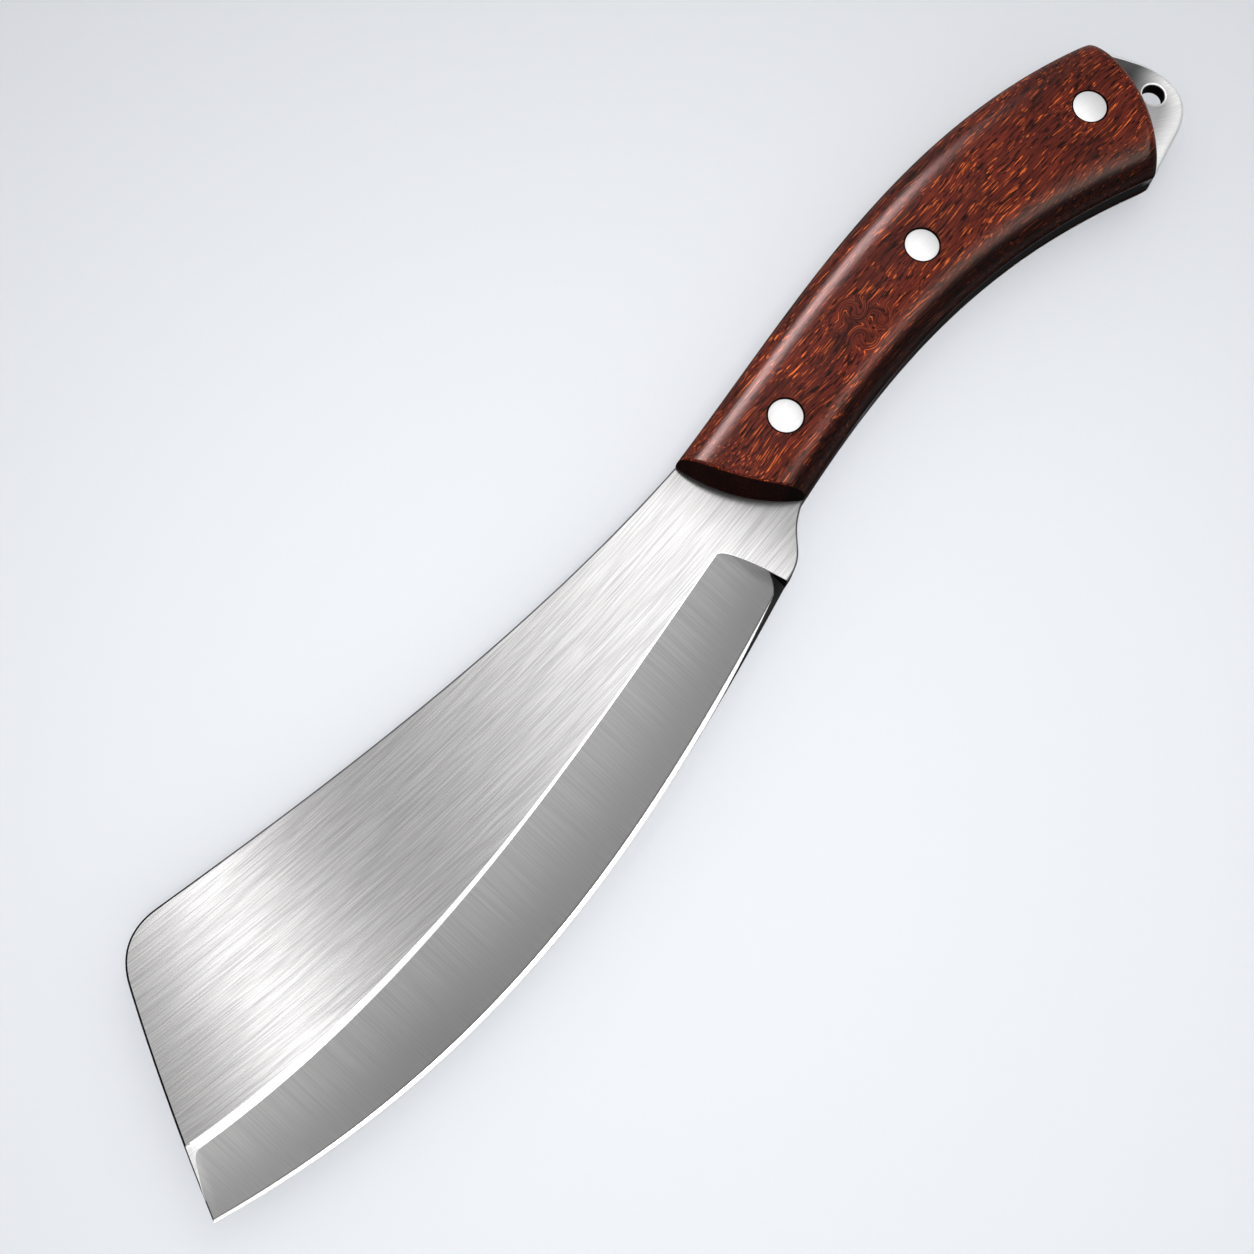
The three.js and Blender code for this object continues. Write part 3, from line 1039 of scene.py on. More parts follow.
    def level(self, points: list[Vector]) -> list[Vector]:
        """Return plan points raised to the height of the flats."""
        return [Vector((*point, self.half)) for point in points]

    def rail_line(self, rail: int) -> list[Vector]:
        """Return the points across the tang at one of its rails, from the back to the belly."""
        back, belly = self.plan.handle.pair(rail / self.rail_steps)
        return self.level(Route([back, belly]).spread(self.rail_columns))

    def rise_at(self, row: int) -> float:
        """Say where a row lies on the grind.

        Args:
            row: The row, counted from the flat.

        Returns:
            0 at the edge, then 1, 2 and 3 where the bevel, the shoulder and the flat begin.
        """
        past = row - self.band_steps
        if past <= 0:
            return 3 - row / self.band_steps
        if past <= self.bevel_steps:
            return 2 - past / self.bevel_steps
        return 0.5 if past == self.bevel_steps + 1 else 0.0

    def add_grind(self, bm: Mesh, stations: list[list[Vector]]) -> None:
        """Bend a grid into the shoulder band, the bevel and the edge grind.

        Args:
            bm: The mesh that takes the faces.
            stations: The rows of points across the blade.
        """
        uv = bm.loops.layers.uv.new("grind")
        spots = bend_grid(bm, stations)
        last_row = len(stations[0]) - 2
        last_station = len(stations) - 2
        for face in bm.faces:
            row = min(spots[vert][1] for vert in face.verts)
            first = min(spots[vert][0] for vert in face.verts)
            face.material_index = Zone.HONE if row == last_row else Zone.EDGE
            if row < self.band_steps + self.bevel_steps:
                face.material_index = Zone.SHOULDER if first == last_station else Zone.BEVEL
            if row < self.band_steps:
                face.material_index = Zone.SHOULDER
            for loop in face.loops:
                loop[uv].uv = (loop.vert.co.x, self.rise_at(spots[loop.vert][1]))

    def add_flat(self, bm: Mesh, stations: list[list[Vector]]) -> None:
        """Fill the flat of the blade and the neck.

        Args:
            bm: The mesh that takes the face.
            stations: The rows of points across the blade.
        """
        end_start = self.profile(self.plan.edge.length, self.tip_cut_back)[0][0]
        outline = self.plan.tip_end.spread(self.end_steps, end_start)[1:]
        outline += self.plan.corner_round.spread(self.round_steps)[1:]
        outline += self.plan.spine.spread(self.spine_steps)[1:-1]
        points = [station[0] for station in stations] + self.level(outline) + self.rail_line(0)
        points += self.level(self.plan.neck.spread(self.neck_steps)[1:-1])
        face = bm.faces.new([bm.verts.new(point) for point in points])
        face.material_index = Zone.FLAT

    def add_tang(self, bm: Mesh, rivets: list[Vector]) -> None:
        """Fill the tang, in one cell for each rivet hole.

        Args:
            bm: The mesh that takes the faces.
            rivets: The plan points of the rivets, from the front.
        """
        for (first, last), rivet in zip(pairwise(self.cell_rails), rivets, strict=True):
            lines = [self.rail_line(rail) for rail in range(first, last + 1)]
            outline = [line[0] for line in lines[:-1]] + lines[-1]
            outline += [line[-1] for line in lines[-2::-1]] + lines[0][-2:0:-1]
            hole = ring(bm, Vector((*rivet, self.half)), self.rivet_bore / 2, self.bore_turns)
            pierced_face(bm, outline, hole, Zone.TANG)

    def add_butt(self, bm: Mesh) -> None:
        """Fill the butt round its hanging hole, crown it and mark the distance from its rim.

        Args:
            bm: The mesh that takes the faces.
        """
        handle = self.plan.handle
        rim = handle.butt_outline()
        outline = self.level(rim) + self.rail_line(self.rail_steps)[-2:0:-1]
        centre = Vector((*handle.hole, self.half))
        reach = handle.hole_bore / 2
        circle = [bm.verts.new(centre + (point - centre).normalized() * reach) for point in outline]
        hole = [bm.edges.new(ends) for ends in pairwise(circle + circle[:1])]
        pierced_face(bm, outline, hole, Zone.BUTT)
        inner = set(circle)
        spokes = [edge for vert in circle for edge in vert.link_edges if edge.other_vert(vert) not in inner]
        bmesh.ops.subdivide_edges(bm, edges=spokes, cuts=self.crown_steps, use_grid_fill=True)
        back, belly = handle.pair(1.0)
        across = (back - belly).normalized()
        for vert in bm.verts:
            past = (vert.co.to_2d() - belly).dot(Vector((across.y, -across.x)))
            vert.co.z -= self.butt_crown * (max(past, 0.0) / self.crown_reach) ** 2
        uv = bm.loops.layers.uv["grind"]
        for loop in [loop for face in bm.faces if face.material_index == Zone.BUTT for loop in face.loops]:
            spot = loop.vert.co.to_2d()
            loop[uv].uv = (spot.x, min((spot - point).length for point in rim))

    def add_walls(self, bm: Mesh, rivets: list[Vector]) -> None:
        """Drop walls from every free edge to the middle plane.

        Args:
            bm: The mesh of the upper half.
            rivets: The plan points of the rivets, from the front.
        """
        walls: dict[Zone, Edges] = {Zone.RIM: [], Zone.SEAM: [], Zone.BORE: []}
        holes = (*rivets, self.plan.handle.hole)
        for edge in [edge for edge in bm.edges if edge.is_boundary]:
            middle = (edge.verts[0].co + edge.verts[1].co).to_2d() / 2
            inside = min((middle - centre).length for centre in holes) < self.rivet_bore
            tang = edge.link_faces[0].material_index == Zone.TANG
            walls[Zone.BORE if inside else Zone.SEAM if tang else Zone.RIM].append(edge)
        for finish, edges in walls.items():
            for vert in pull(bm, edges, finish)[0]:
                vert.co.z = 0.0

    def round_rims(self, bm: Mesh) -> None:
        """Break the rim of the blade, round the rim of the butt and ease its hole.

        Args:
            bm: The mesh of the upper half.
        """
        groups = (
            (Zone.FLAT, Zone.RIM, self.rim_round, 3, Zone.LINE),
            (Zone.BEVEL, Zone.RIM, self.tip_rim_round, 2, Zone.LINE),
            (Zone.SHOULDER, Zone.RIM, self.tip_rim_round, 2, Zone.LINE),
            (Zone.TANG, Zone.SEAM, self.seam_round, 2, Zone.SEAM),
            (Zone.BUTT, Zone.RIM, self.butt_rim_round, 4, Zone.CHAMFER),
            (Zone.BUTT, Zone.BORE, self.hole_round, 3, Zone.CHAMFER),
        )
        for top, wall, offset, segments, finish in groups:
            rounded = bmesh.ops.bevel(
                bm,
                geom=border(bm, top, wall),
                offset=offset,
                offset_type="OFFSET",
                segments=segments,
                profile=0.5,
                affect="EDGES",
                clamp_overlap=False,
                material=-1,
            )
            for face in rounded["faces"]:
                face.material_index = finish

    def build(self, rivets: list[Vector]) -> Piece:
        """Build the plate: its upper half, then the mirror image below.

        Args:
            rivets: The plan points of the rivets, from the front.

        Returns:
            The piece.
        """
        bm = bmesh.new()
        stations = self.stations()
        self.add_grind(bm, stations)
        self.add_flat(bm, stations)
        self.add_tang(bm, rivets)
        self.add_butt(bm)
        bmesh.ops.remove_doubles(bm, verts=bm.verts[:], dist=WELD)
        self.add_walls(bm, rivets)
        bmesh.ops.remove_doubles(bm, verts=bm.verts[:], dist=WELD)
        bmesh.ops.recalc_face_normals(bm, faces=bm.faces[:])
        self.round_rims(bm)
        bmesh.ops.mirror(bm, geom=bm.verts[:] + bm.edges[:] + bm.faces[:], axis="Z", merge_dist=WELD)
        for pair in ((Zone.SHOULDER, Zone.BEVEL), (Zone.BEVEL, Zone.EDGE), (Zone.SHOULDER, Zone.EDGE)):
            for edge in border(bm, *pair):
                edge.smooth = False
        return finish_piece(bm, "ground_plate", self.place, self.sharp_angle)

    def finishes(self) -> dict[Zone, BrushedSteel]:
        """Choose the finish of each zone.

        Returns:
            The finishes, by zone.
        """
        return {
            # Broad soft glints across fine strokes, greyer by the handle from a painted reflection of the
            # dark wood.
            Zone.FLAT: BrushedSteel(
                "steel_brushed_along",
                "#8f8e8e",
                "#aaa9a9",
                0.205,
                stroke_width=0.24,
                stroke_length=11.0,
                stroke_depth=0.0002,
                broad_share=0.05,
                fades=(Fade(Way.LENGTH, -16.0, 4.0, 0.45),),
            ),
            # Painted highlight: a clear white line above the bevel.
            Zone.SHOULDER: BrushedSteel("steel_shoulder_painted_highlight", "#e6e6e6", "#fafafa", 0.26),
            # An even mid grey under painted light and shade: lighter at the tip, darker towards the edge,
            # with a thin line of painted shade above the edge.
            Zone.BEVEL: BrushedSteel(
                "steel_ground_across",
                "#a2a1a1",
                "#afaeae",
                0.34,
                Lay.ACROSS,
                stroke_width=0.2,
                broad_share=0.02,
                pull=0.7,
                fades=(
                    Fade(Way.LENGTH, -188.0, -125.0, 0.62),
                    Fade(Way.GRIND, 2.0, 1.05, 0.74),
                    Fade(Way.GRIND, 1.03, 1.0, 0.5),
                ),
            ),
            # A bright thread along the cutting edge: a pale painted highlight, with the edge strip's
            # reflection on top.
            Zone.EDGE: BrushedSteel("steel_honed_edge_painted_highlight", "#e0e0e0", "#f6f6f6", 0.18, Lay.ACROSS),
            # Plain grey sides.
            Zone.RIM: BrushedSteel("steel_rim", "#737374", "#8a8a8b", 0.3),
            # A pale fan of strokes with painted shade: it darkens towards the scales and the spine, and
            # away from its rim.
            Zone.BUTT: BrushedSteel(
                "steel_brushed_butt",
                "#e4e4e4",
                "#f4f4f4",
                0.22,
                Lay.FANNED,
                stroke_depth=0.0001,
                pull=0.5,
                fades=(Fade(Way.WIDTH, -9.5, -1.2, 0.1), Fade(Way.GRIND, 0.8, 6.0, 0.45)),
            ),
            # Dull grey under the scales, where it hardly shows.
            Zone.TANG: BrushedSteel("steel_tang", "#8c8d8f", "#a8a9ab", 0.4),
            # A grey line between the two scales.
            Zone.SEAM: BrushedSteel("steel_tang_edge", "#6a6b6e", "#828386", 0.35),
            # Painted shade: a dark hole, its steel coloured nearly black.
            Zone.BORE: BrushedSteel("steel_bore_painted_shade", "#241a18", "#3a2c28", 0.4),
            # A soft bright rim round the butt and its hole.
            Zone.CHAMFER: BrushedSteel("steel_chamfer", "#dcdcdd", "#f0f0f0", 0.34, pull=0.0),
            # A grey facet on the edge with painted shade that turns it black at the heel.
            Zone.HONE: BrushedSteel(
                "steel_edge_facet",
                "#b4b4b4",
                "#c8c8c8",
                0.3,
                Lay.ACROSS,
                fades=(Fade(Way.LENGTH, -72.0, -30.0, 0.03),),
            ),
            # Painted shade on the rounded rim: a thin dark outline, black at the blade's end.
            Zone.LINE: BrushedSteel(
                "steel_rim_painted_shade",
                "#5c5c5d",
                "#6c6c6d",
                0.3,
                fades=(Fade(Way.LENGTH, -122.0, -148.0, 0.02),),
            ),
        }

    def dress(self, piece: Piece) -> None:
        """Give the plate its finishes, one for each zone.

        Args:
            piece: The plate.
        """
        finishes = self.finishes()
        for zone in Zone:
            piece.data.materials.append(finishes[zone].material(self.place))


class Grain(IntEnum):
    """The finishes on a scale, in the order of its material slots."""

    LONG = 0
    END = 1


@dataclass
class Scale:
    """One wooden scale: a full crown over the tang, with a leaning front end and a rounded rear end."""

    handle: HandlePlan
    place: Placement
    node: str
    piece: str
    up: bool
    half_stock: float
    slot: str = "handle_wood"
    sharp_angle: float = 40.0
    glue_line: float = 0.1
    thickness: float = 8.0
    fullness: float = 2.6
    front_bulge: float = 2.7
    front_lean: float = 1.6
    rear_bulge: float = 3.8
    rear_round: float = 3.0
    rear_wall: float = 5.0
    front_round: float = 0.5
    head_bore: float = 8.3
    head_depth: float = 1.95
    tube_bore: float = 5.3
    bore_margin: float = 1.5
    length_steps: int = 110
    width_steps: int = 48
    round_steps: int = 6
    halvings: int = 14
    cell_shares: tuple[float, ...] = (0.0, 0.3, 0.69, 1.0)

    @property
    def floor(self) -> float:
        """Return the height of the wood's underside."""
        return self.half_stock + self.glue_line

    def swell(self, side: float) -> float:
        """Return the share of its full height that the crown has at a place between the two rims."""
        return max(0.0, 1.0 - abs(side) ** self.fullness) ** (1 / self.fullness)

    def spot(self, share: float, side: float, rise: float) -> Vector:
        """Place a point of the scale.

        Args:
            share: The share of the handle's length from the front.
            side: From -1 at the belly to 1 at the back.
            rise: The height over the underside.

        Returns:
            The point.
        """
        back, belly = self.handle.pair(share)
        across = (back - belly).normalized()
        bulge = blend(-self.front_bulge, self.rear_bulge, share) * (1 - side**2)
        lean = self.front_lean * (1 - share) * rise / self.thickness
        plan = belly.lerp(back, (1 + side) / 2) + Vector((across.y, -across.x)) * (bulge + lean)
        return Vector((*plan, self.floor + rise))

    def rows(self) -> list[Pair]:
        """Work out the rows of the crown.

        Returns:
            The share of the length and the full height of each row, with the feet of the two ends.
        """
        front = self.front_round / self.handle.length
        rear = self.rear_round / self.handle.length
        turns = [math.pi / 2 * step / self.round_steps for step in range(self.round_steps + 1)]
        found = [(0.0, 0.0)]
        for turn in turns:
            height = self.thickness - self.front_round * (1 - math.sin(turn))
            found.append((front * (1 - math.cos(turn)), height))
        for step in range(1, self.length_steps):
            found.append((blend(front, 1 - rear, step / self.length_steps), self.thickness))
        for turn in turns:
            height = blend(self.rear_wall, self.thickness, math.cos(turn))
            found.append((1 - rear * (1 - math.sin(turn)), height))
        return found + [(1.0, 0.0)]

    @property
    def sides(self) -> list[float]:
        """Return the places of the columns between the rims, closer together near the rims."""
        shares = [column / self.width_steps for column in range(self.width_steps + 1)]
        return [math.sin(math.pi * (share - 0.5)) for share in shares]

    def across(self, point: Vector) -> Pair:
        """Find where a plan point lies on the handle.

        Args:
            point: The plan point.

        Returns:
            The share of the length from the front, and the place between the rims.
        """
        low, high = 0.0, 1.0
        for _ in range(self.halvings):
            share = (low + high) / 2
            back, belly = self.handle.pair(share)
            reach = back - belly
            ahead = (point - belly).dot(Vector((reach.y, -reach.x)))
            low, high = (share, high) if ahead > 0 else (low, share)
        return share, 2 * (point - belly).dot(reach) / reach.length_squared - 1

    def crown_over(self, point: Vector) -> float:
        """Return the height of the crown over a plan point."""
        return self.floor + self.thickness * self.swell(self.across(point)[1])

    def mark_sides(self, bm: Mesh) -> None:
        """Keep the place along and across the handle in a UV map, for the finish to read.

        Args:
            bm: The mesh of the scale.
        """
        layer = bm.loops.layers.uv.new("handle")
        for vert in bm.verts:
            share, side = self.across(vert.co.to_2d())
            for loop in vert.link_loops:
                loop[layer].uv = (share, (side + 1) / 2)

    def add_crown(self, bm: Mesh) -> Spots:
        """Bend a grid over the tang into the crown and the two ends.

        Args:
            bm: The mesh that takes the faces.

        Returns:
            The row and the column of each vertex.
        """
        rows = self.rows()
        sides = self.sides
        points = []
        for share, height in rows:
            points.append([self.spot(share, side, height * self.swell(side)) for side in sides])
        spots = bend_grid(bm, points)
        for face in bm.faces:
            row = min(spots[vert][0] for vert in face.verts)
            face.material_index = Grain.END if row in (0, len(rows) - 2) else Grain.LONG
        return spots

    def add_bore(self, bm: Mesh, spots: Spots, rivet: Vector) -> Edges:
        """Bore the stepped hole of one rivet.

        Args:
            bm: The mesh of the crown.
            spots: The row and the column of each vertex of the crown.
            rivet: The plan point of the rivet.

        Returns:
            The edges round the hole at the underside.
        """
        reach = self.head_bore / 2 + self.bore_margin
        near = [spots[vert] for vert in spots if (vert.co.to_2d() - rivet).length < reach]
        rows, columns = ({*range(min(line), max(line) + 1)} for line in zip(*near))
        patch = []
        for face in bm.faces:
            places = [spots.get(vert, (-1, -1)) for vert in face.verts]
            if all(row in rows and column in columns for row, column in places):
                patch.append(face)
        inside = set(patch)
        rim = [edge for face in patch for edge in face.edges if not set(edge.link_faces) <= inside]
        bmesh.ops.delete(bm, geom=patch, context="FACES")
        for vert in [vert for vert in spots if not vert.is_valid]:
            del spots[vert]
        mouth = ring(bm, Vector((*rivet, 0.0)), self.head_bore / 2, len(rim))
        for vert in {vert for edge in mouth for vert in edge.verts}:
            vert.co.z = self.crown_over(vert.co.to_2d())
        bmesh.ops.bridge_loops(bm, edges=rim + mouth)
        seat = self.floor + self.thickness - self.head_depth
        edges = mouth
        for bore, height in ((self.head_bore, seat), (self.tube_bore, seat), (self.tube_bore, self.floor)):
            verts, edges = pull(bm, edges, Grain.END)
            for vert in verts:
                spoke = (vert.co.to_2d() - rivet).normalized() * bore / 2
                vert.co = (*(rivet + spoke), height)
        return edges

    def add_underside(self, bm: Mesh, bores: list[Edges]) -> None:
        """Fill the underside, in one cell for each rivet hole.

        Between two loops in one plane rounding decides which way a bridge runs, and it may twist. So each
        hole stands off the plane until its cell is filled.

        Args:
            bm: The mesh of the crown with its bores.
            bores: The edges round each hole at the underside, from the front.
        """
        shares = list(dict.fromkeys(share for share, _ in self.rows()))
        cuts = [min(shares, key=lambda share: abs(share - wanted)) for wanted in self.cell_shares]
        sides = self.sides
        for (first, last), bore in zip(pairwise(cuts), bores, strict=True):
            within = [share for share in shares if first <= share <= last]
            outline = [self.spot(share, -1.0, 0.0) for share in within]
            if last == cuts[-1]:
                outline += [self.spot(last, side, 0.0) for side in sides[1:-1]]
            outline += [self.spot(share, 1.0, 0.0) for share in reversed(within)]
            if first == cuts[0]:
                outline += [self.spot(first, side, 0.0) for side in reversed(sides[1:-1])]
            places = {vert: vert.co.copy() for edge in bore for vert in edge.verts}
            for vert in places:
                vert.co.z += STAND_OFF
            pierced_face(bm, outline, bore, Grain.LONG)
            for vert, place in places.items():
                vert.co = place

    def build(self, rivets: list[Vector]) -> Piece:
        """Build the scale over the tang, or its mirror image below.

        Args:
            rivets: The plan points of the rivets, from the front.

        Returns:
            The piece.
        """
        bm = bmesh.new()
        spots = self.add_crown(bm)
        bores = [self.add_bore(bm, spots, rivet) for rivet in rivets]
        self.add_underside(bm, bores)
        bmesh.ops.remove_doubles(bm, verts=bm.verts[:], dist=WELD)
        self.mark_sides(bm)
        if not self.up:
            bmesh.ops.scale(bm, vec=(1.0, 1.0, -1.0), verts=bm.verts[:])
        return finish_piece(bm, self.piece, self.place, self.sharp_angle)

    def dress(self, piece: Piece) -> None:
        """Give the scale its long grain and its darker end grain, which also carries painted shade.

        Args:
            piece: The scale.
        """
        # Dark red brown with bright dashes, and a soft sheen along the handle.
        long_grain = PalmWood("palm_wood_oiled", "#2a0e09", "#662619", "#e06a2c", "#100403")
        # Nearly black and dull: end grain is darker, and painted shade darkens it further on the ends and
        # in the bores.
        end_grain_and_shade_colours = ("#0c0302", "#1a0705", "#3a1408", "#060101")
        end_grain_and_shade = PalmWood("palm_wood_end_grain_painted_shade", *end_grain_and_shade_colours, roughness=0.6, gloss=0.04)
        for finish in (long_grain, end_grain_and_shade):
            piece.data.materials.append(finish.material(self.place))


class Half(Enum):
    """The two halves of a cutler's rivet."""

    SLEEVE = "sleeve"
    PIN = "pin"


@dataclass
class Rivet:
    """One half of a cutler's rivet: a ground head on a tube, or on the pin that presses into the tube."""

    place: Placement
    name: str
    half: Half
    slot: str = "rivet_steel"
    sharp_angle: float = 40.0
    head: float = 8.0
    head_height: float = 1.8
    dome: float = 0.2
    rim_round: float = 0.25
    tube: float = 5.0
    pin: float = 3.0
    fit: float = 0.15
    turns: int = 64
    rim_steps: int = 4
    dome_steps: int = 5

    @property
    def node(self) -> str:
        """Return the node of the frame that the half stands for."""
        return f"{self.name}_rivet_{self.half.value}"

    def section(self) -> list[Pair]:
        """Draw half of the rivet's section, with its head up.

        Returns:
            The radius and the height of each point, from the axis at the shank to the axis at the head.
        """
        low, high = self.place.heights_of(self.node)
        end, crown = (low, high) if self.half is Half.SLEEVE else (-high, -low)
        under = crown - self.head_height
        bore = self.pin / 2 + self.fit
        tube = self.tube / 2
        points = [(0.0, end), (self.pin / 2, end), (self.pin / 2, under)]
        if self.half is Half.SLEEVE:
            points = [(0.0, under), (bore, under), (bore, end), (tube, end), (tube, under)]
        radius = self.head / 2
        points.append((radius, under))
        rim = crown - self.dome
        for step in range(self.rim_steps + 1):
            turn = math.pi / 2 * step / self.rim_steps
            inset = self.rim_round * (1 - math.cos(turn))
            points.append((radius - inset, rim - self.rim_round * (1 - math.sin(turn))))
        top = points[-1][0]
        for step in range(self.dome_steps - 1, -1, -1):
            share = step / self.dome_steps
            points.append((top * share, crown - self.dome * share**2))
        return points

    def build(self) -> Piece:
        """Spin the section round its axis.

        Returns:
            The piece.
        """
        centre = self.place.plan_of(self.node)
        bm = bmesh.new()
        verts = [bm.verts.new((centre.x + radius, centre.y, height)) for radius, height in self.section()]
        edges = [bm.edges.new(ends) for ends in pairwise(verts)]
        bmesh.ops.spin(
            bm,
            geom=verts + edges,
            cent=(centre.x, centre.y, 0.0),
            axis=(0.0, 0.0, 1.0),
            angle=2 * math.pi,
            steps=self.turns,
            use_merge=True,
        )
        bmesh.ops.remove_doubles(bm, verts=bm.verts[:], dist=WELD)
        for face in bm.faces:
            reach = (face.calc_center_median().to_2d() - centre).length
            face.material_index = int(reach > self.head / 2 - self.rim_round)
        if self.half is Half.PIN:
            bmesh.ops.scale(bm, vec=(1.0, 1.0, -1.0), verts=bm.verts[:])
        return finish_piece(bm, f"ground_{self.node}", self.place, self.sharp_angle)

    def dress(self, piece: Piece) -> None:
        """Give the rivet its bright ground head and the dark line round it, which is painted shade.

        Args:
            piece: The rivet half.
        """
        even = {"lay": Lay.PLAIN, "stroke_depth": 0.0, "pull": 0.0}
        # An even pale disc.
        ground = BrushedSteel("steel_rivet_ground", "#c2c2c2", "#c8c8c8", 0.38, **even)
        # Painted shade: a thin dark ring between the head and the wood.
        shaded_ring = BrushedSteel("steel_rivet_ring_painted_shade", "#140805", "#1e0c08", 0.5, **even)
        for finish in (ground, shaded_ring):
            piece.data.materials.append(finish.material(self.place))


class Light(Enum):
    """What a lamp lights."""

    ALL = "everything"
    GLOSS = "reflections only"
    WOOD = "reflections in the wood only"
    MATT = "matt surfaces only"


@dataclass(frozen=True)
class Softbox:
    """A soft rectangular lamp."""

    name: str
    place: Triple
    aim: Triple
    width: float
    height: float
    power: float
    turn: float = 0.0
    tint: str = "#ffffff"
    light: Light = Light.ALL
    spread: float = 180.0

    def build(self, wood: bpy.types.Collection) -> None:
        """Hang the lamp.

        Args:
            wood: The wooden pieces, which some lamps are kept to.
        """
        lamp = bpy.data.lights.new(self.name, "AREA")
        lamp.shape = "RECTANGLE"
        lamp.size = self.width
        lamp.size_y = self.height
        lamp.energy = self.power
        lamp.color = linear(self.tint)[:3]
        lamp.spread = math.radians(self.spread)
        hung = bpy.data.objects.new(self.name, lamp)
        hung.location = self.place
        facing = (Vector(self.aim) - Vector(self.place)).to_track_quat("-Z", "Y").to_matrix()
        hung.rotation_euler = (facing @ Matrix.Rotation(math.radians(self.turn), 3, "Z")).to_euler()
        hung.visible_camera = False
        hung.visible_diffuse = self.light in (Light.ALL, Light.MATT)
        hung.visible_glossy = self.light is not Light.MATT
        if self.light is Light.WOOD:
            hung.light_linking.receiver_collection = wood
        bpy.context.collection.objects.link(hung)


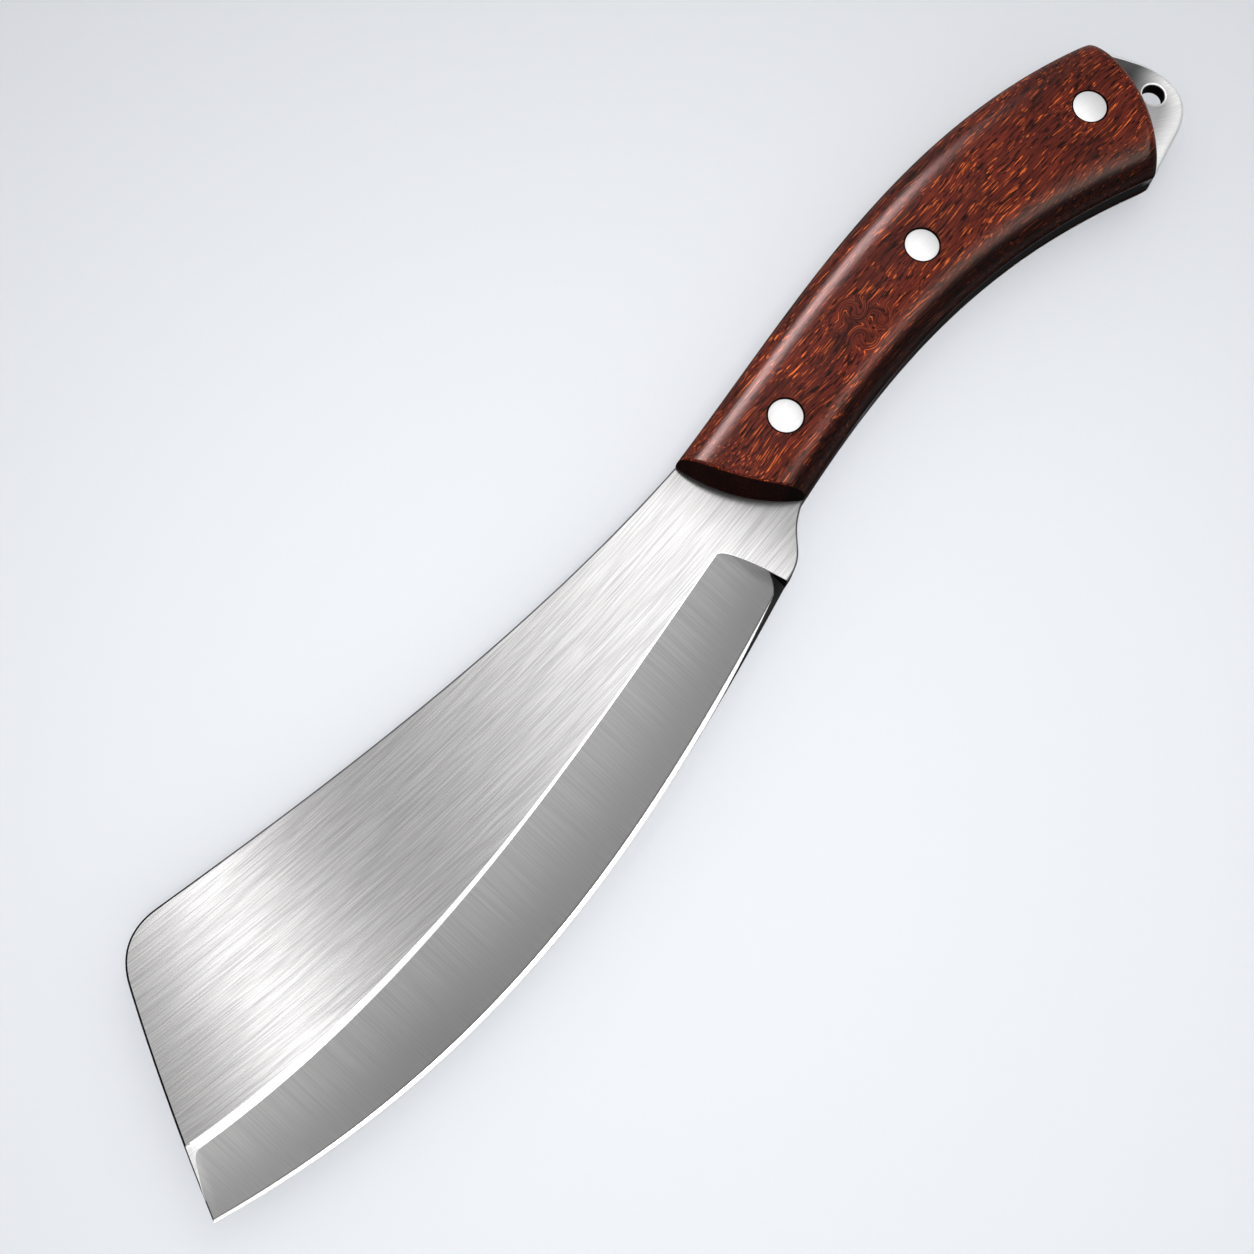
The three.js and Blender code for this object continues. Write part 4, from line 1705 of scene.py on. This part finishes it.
@dataclass
class Studio:
    """The floor, the lamps and the camera."""

    wood: list[Piece]
    aim: Triple = (-0.021065, -0.00051, 0.021)
    distance: float = 0.537014
    azimuth: float = -152.853
    elevation: float = 71.97
    roll: float = 14.539
    lens: float = 75.39
    sensor: float = 36.0
    floor_reach: float = 60.0
    floor_turns: int = 96
    sky: str = "#fcfcfc"
    sky_strength: float = 0.95
    horizon_share: float = 0.75
    horizon_limits: Pair = (0.15, 0.65)
    below_share: float = 0.04
    below_limits: Pair = (-0.8, -0.42)

    def lamps(self) -> list[Softbox]:
        """Choose the lamps of the studio.

        Returns:
            The lamps.
        """
        matt = {"light": Light.MATT, "spread": 24.0}
        handle = (0.07, 0.0, 0.01)
        belly = (0.09, 0.0, 0.01)
        edge = (-0.07, -0.03, 0.01)
        return [
            Softbox("tip_strip", (-0.034, 0.14, 1.2), (-0.034, 0.14, 0.0), 0.047, 0.8, 0.54, turn=-17.0),
            Softbox("tip_fill", (0.02, 0.14, 1.2), (0.02, 0.14, 0.0), 0.05, 0.8, 0.09, turn=-17.0),
            Softbox("neck_softbox", (0.475, 0.17, 1.2), (0.475, 0.17, 0.0), 0.42, 0.76, 2.3, turn=-34.0),
            Softbox(
                "back_strip", (0.33, 0.77, 0.6), handle, 0.5, 0.24, 55.0, tint="#ffd8d4", light=Light.WOOD
            ),
            Softbox(
                "belly_strip", (0.52, -0.48, 0.77), belly, 0.6, 0.2, 10.5, tint="#ffdccc", light=Light.WOOD
            ),
            Softbox("edge_strip", (0.1, -0.73, 0.7), edge, 0.7, 0.16, 2.0, light=Light.GLOSS),
            Softbox("key", (-0.31, -0.26, 1.1), (-0.045, 0.0, 0.0), 0.3, 0.3, 0.185, **matt),
        ]

    def build_floor(self) -> None:
        """Lay the pale floor under the cleaver, kept out of reflections."""
        bm = bmesh.new()
        bmesh.ops.create_circle(bm, cap_ends=True, segments=self.floor_turns, radius=self.floor_reach)
        mesh = bpy.data.meshes.new("floor")
        bm.to_mesh(mesh)
        bm.free()
        floor = bpy.data.objects.new("floor", mesh)
        floor.location.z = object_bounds()[0][2]
        # The paper glows with a painted pool of light round the cleaver.
        floor.data.materials.append(LitPaper("backdrop_paper", "#a3a5a8", "#9fa1a5").material())
        floor.visible_glossy = False
        bpy.context.collection.objects.link(floor)
        floor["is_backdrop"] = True

    def build_sky(self) -> None:
        """Light the room: even overhead, dimmer towards the horizon and dark far below it."""
        world = bpy.data.worlds.new("studio")
        world.use_nodes = True
        add = partial(add_node, world.node_tree)
        rise = add("SeparateXYZ", [add("TexCoord").outputs["Generated"]]).outputs[2]
        shares = (self.horizon_share * self.sky_strength, self.sky_strength)
        smooth = {"interpolation_type": "SMOOTHSTEP"}
        above = add("MapRange", (rise, *self.horizon_limits, *shares), **smooth)
        below = add("MapRange", (rise, *self.below_limits, self.below_share, 1.0), **smooth)
        strength = add("Math", (above, below), operation="MULTIPLY")
        background = world.node_tree.nodes["Background"]
        background.inputs["Color"].default_value = linear(self.sky)
        world.node_tree.links.new(strength.outputs[0], background.inputs["Strength"])
        bpy.context.scene.world = world

    def build_camera(self) -> None:
        """Stand the camera where the photograph was taken from."""
        azimuth, elevation, roll = (math.radians(a) for a in (self.azimuth, self.elevation, self.roll))
        level = math.cos(elevation)
        back = Vector((level * math.cos(azimuth), level * math.sin(azimuth), math.sin(elevation)))
        level_right = Vector((-math.sin(azimuth), math.cos(azimuth), 0.0))
        right = level_right * math.cos(roll) + back.cross(level_right) * math.sin(roll)
        turn = Matrix((right, back.cross(right), back)).transposed().to_4x4()
        lens = bpy.data.cameras.new("camera")
        lens.lens = self.lens
        lens.sensor_width = self.sensor
        camera = bpy.data.objects.new("camera", lens)
        camera.matrix_world = Matrix.Translation(Vector(self.aim) + back * self.distance) @ turn
        bpy.context.collection.objects.link(camera)
        bpy.context.scene.camera = camera

    def build(self) -> None:
        """Build the studio."""
        self.build_camera()
        self.build_floor()
        self.build_sky()
        lit = bpy.data.collections.new("wood_lit_by_flagged_lamps")
        for piece in self.wood:
            lit.objects.link(piece)
        for lamp in self.lamps():
            lamp.build(lit)
        bpy.context.scene.view_settings.view_transform = "Standard"


def adopt(assembly: Plate | Scale | Rivet, piece: Piece) -> None:
    """Dress a piece and put it in the place of its node.

    Args:
        assembly: What the piece was built from.
        piece: The piece.
    """
    assembly.dress(piece)
    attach(piece, "root")
    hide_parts(assembly.node)
    log.info("%s stands for %s with %d faces", piece.name, assembly.node, len(piece.data.polygons))


def main() -> None:
    """Build the cleaver and its studio."""
    logging.basicConfig(level=logging.INFO, format="%(message)s")
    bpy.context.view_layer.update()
    plan = BladePlan(HandlePlan())
    place = Placement.of(plan)
    names = ("front", "middle", "rear")
    rivets = [place.plan_of(f"{name}_rivet_sleeve") for name in names]
    plate = Plate(plan, place)
    adopt(plate, plate.build(rivets))
    wood = []
    for side, up in (("near", True), ("far", False)):
        scale = Scale(plan.handle, place, f"{side}_scale", f"{side}_wood_scale", up, plate.half)
        wood.append(scale.build(rivets))
        adopt(scale, wood[-1])
    for name in names:
        for half in Half:
            rivet = Rivet(place, name, half)
            adopt(rivet, rivet.build())
    Studio(wood).build()


if __name__ == "__main__":
    main()
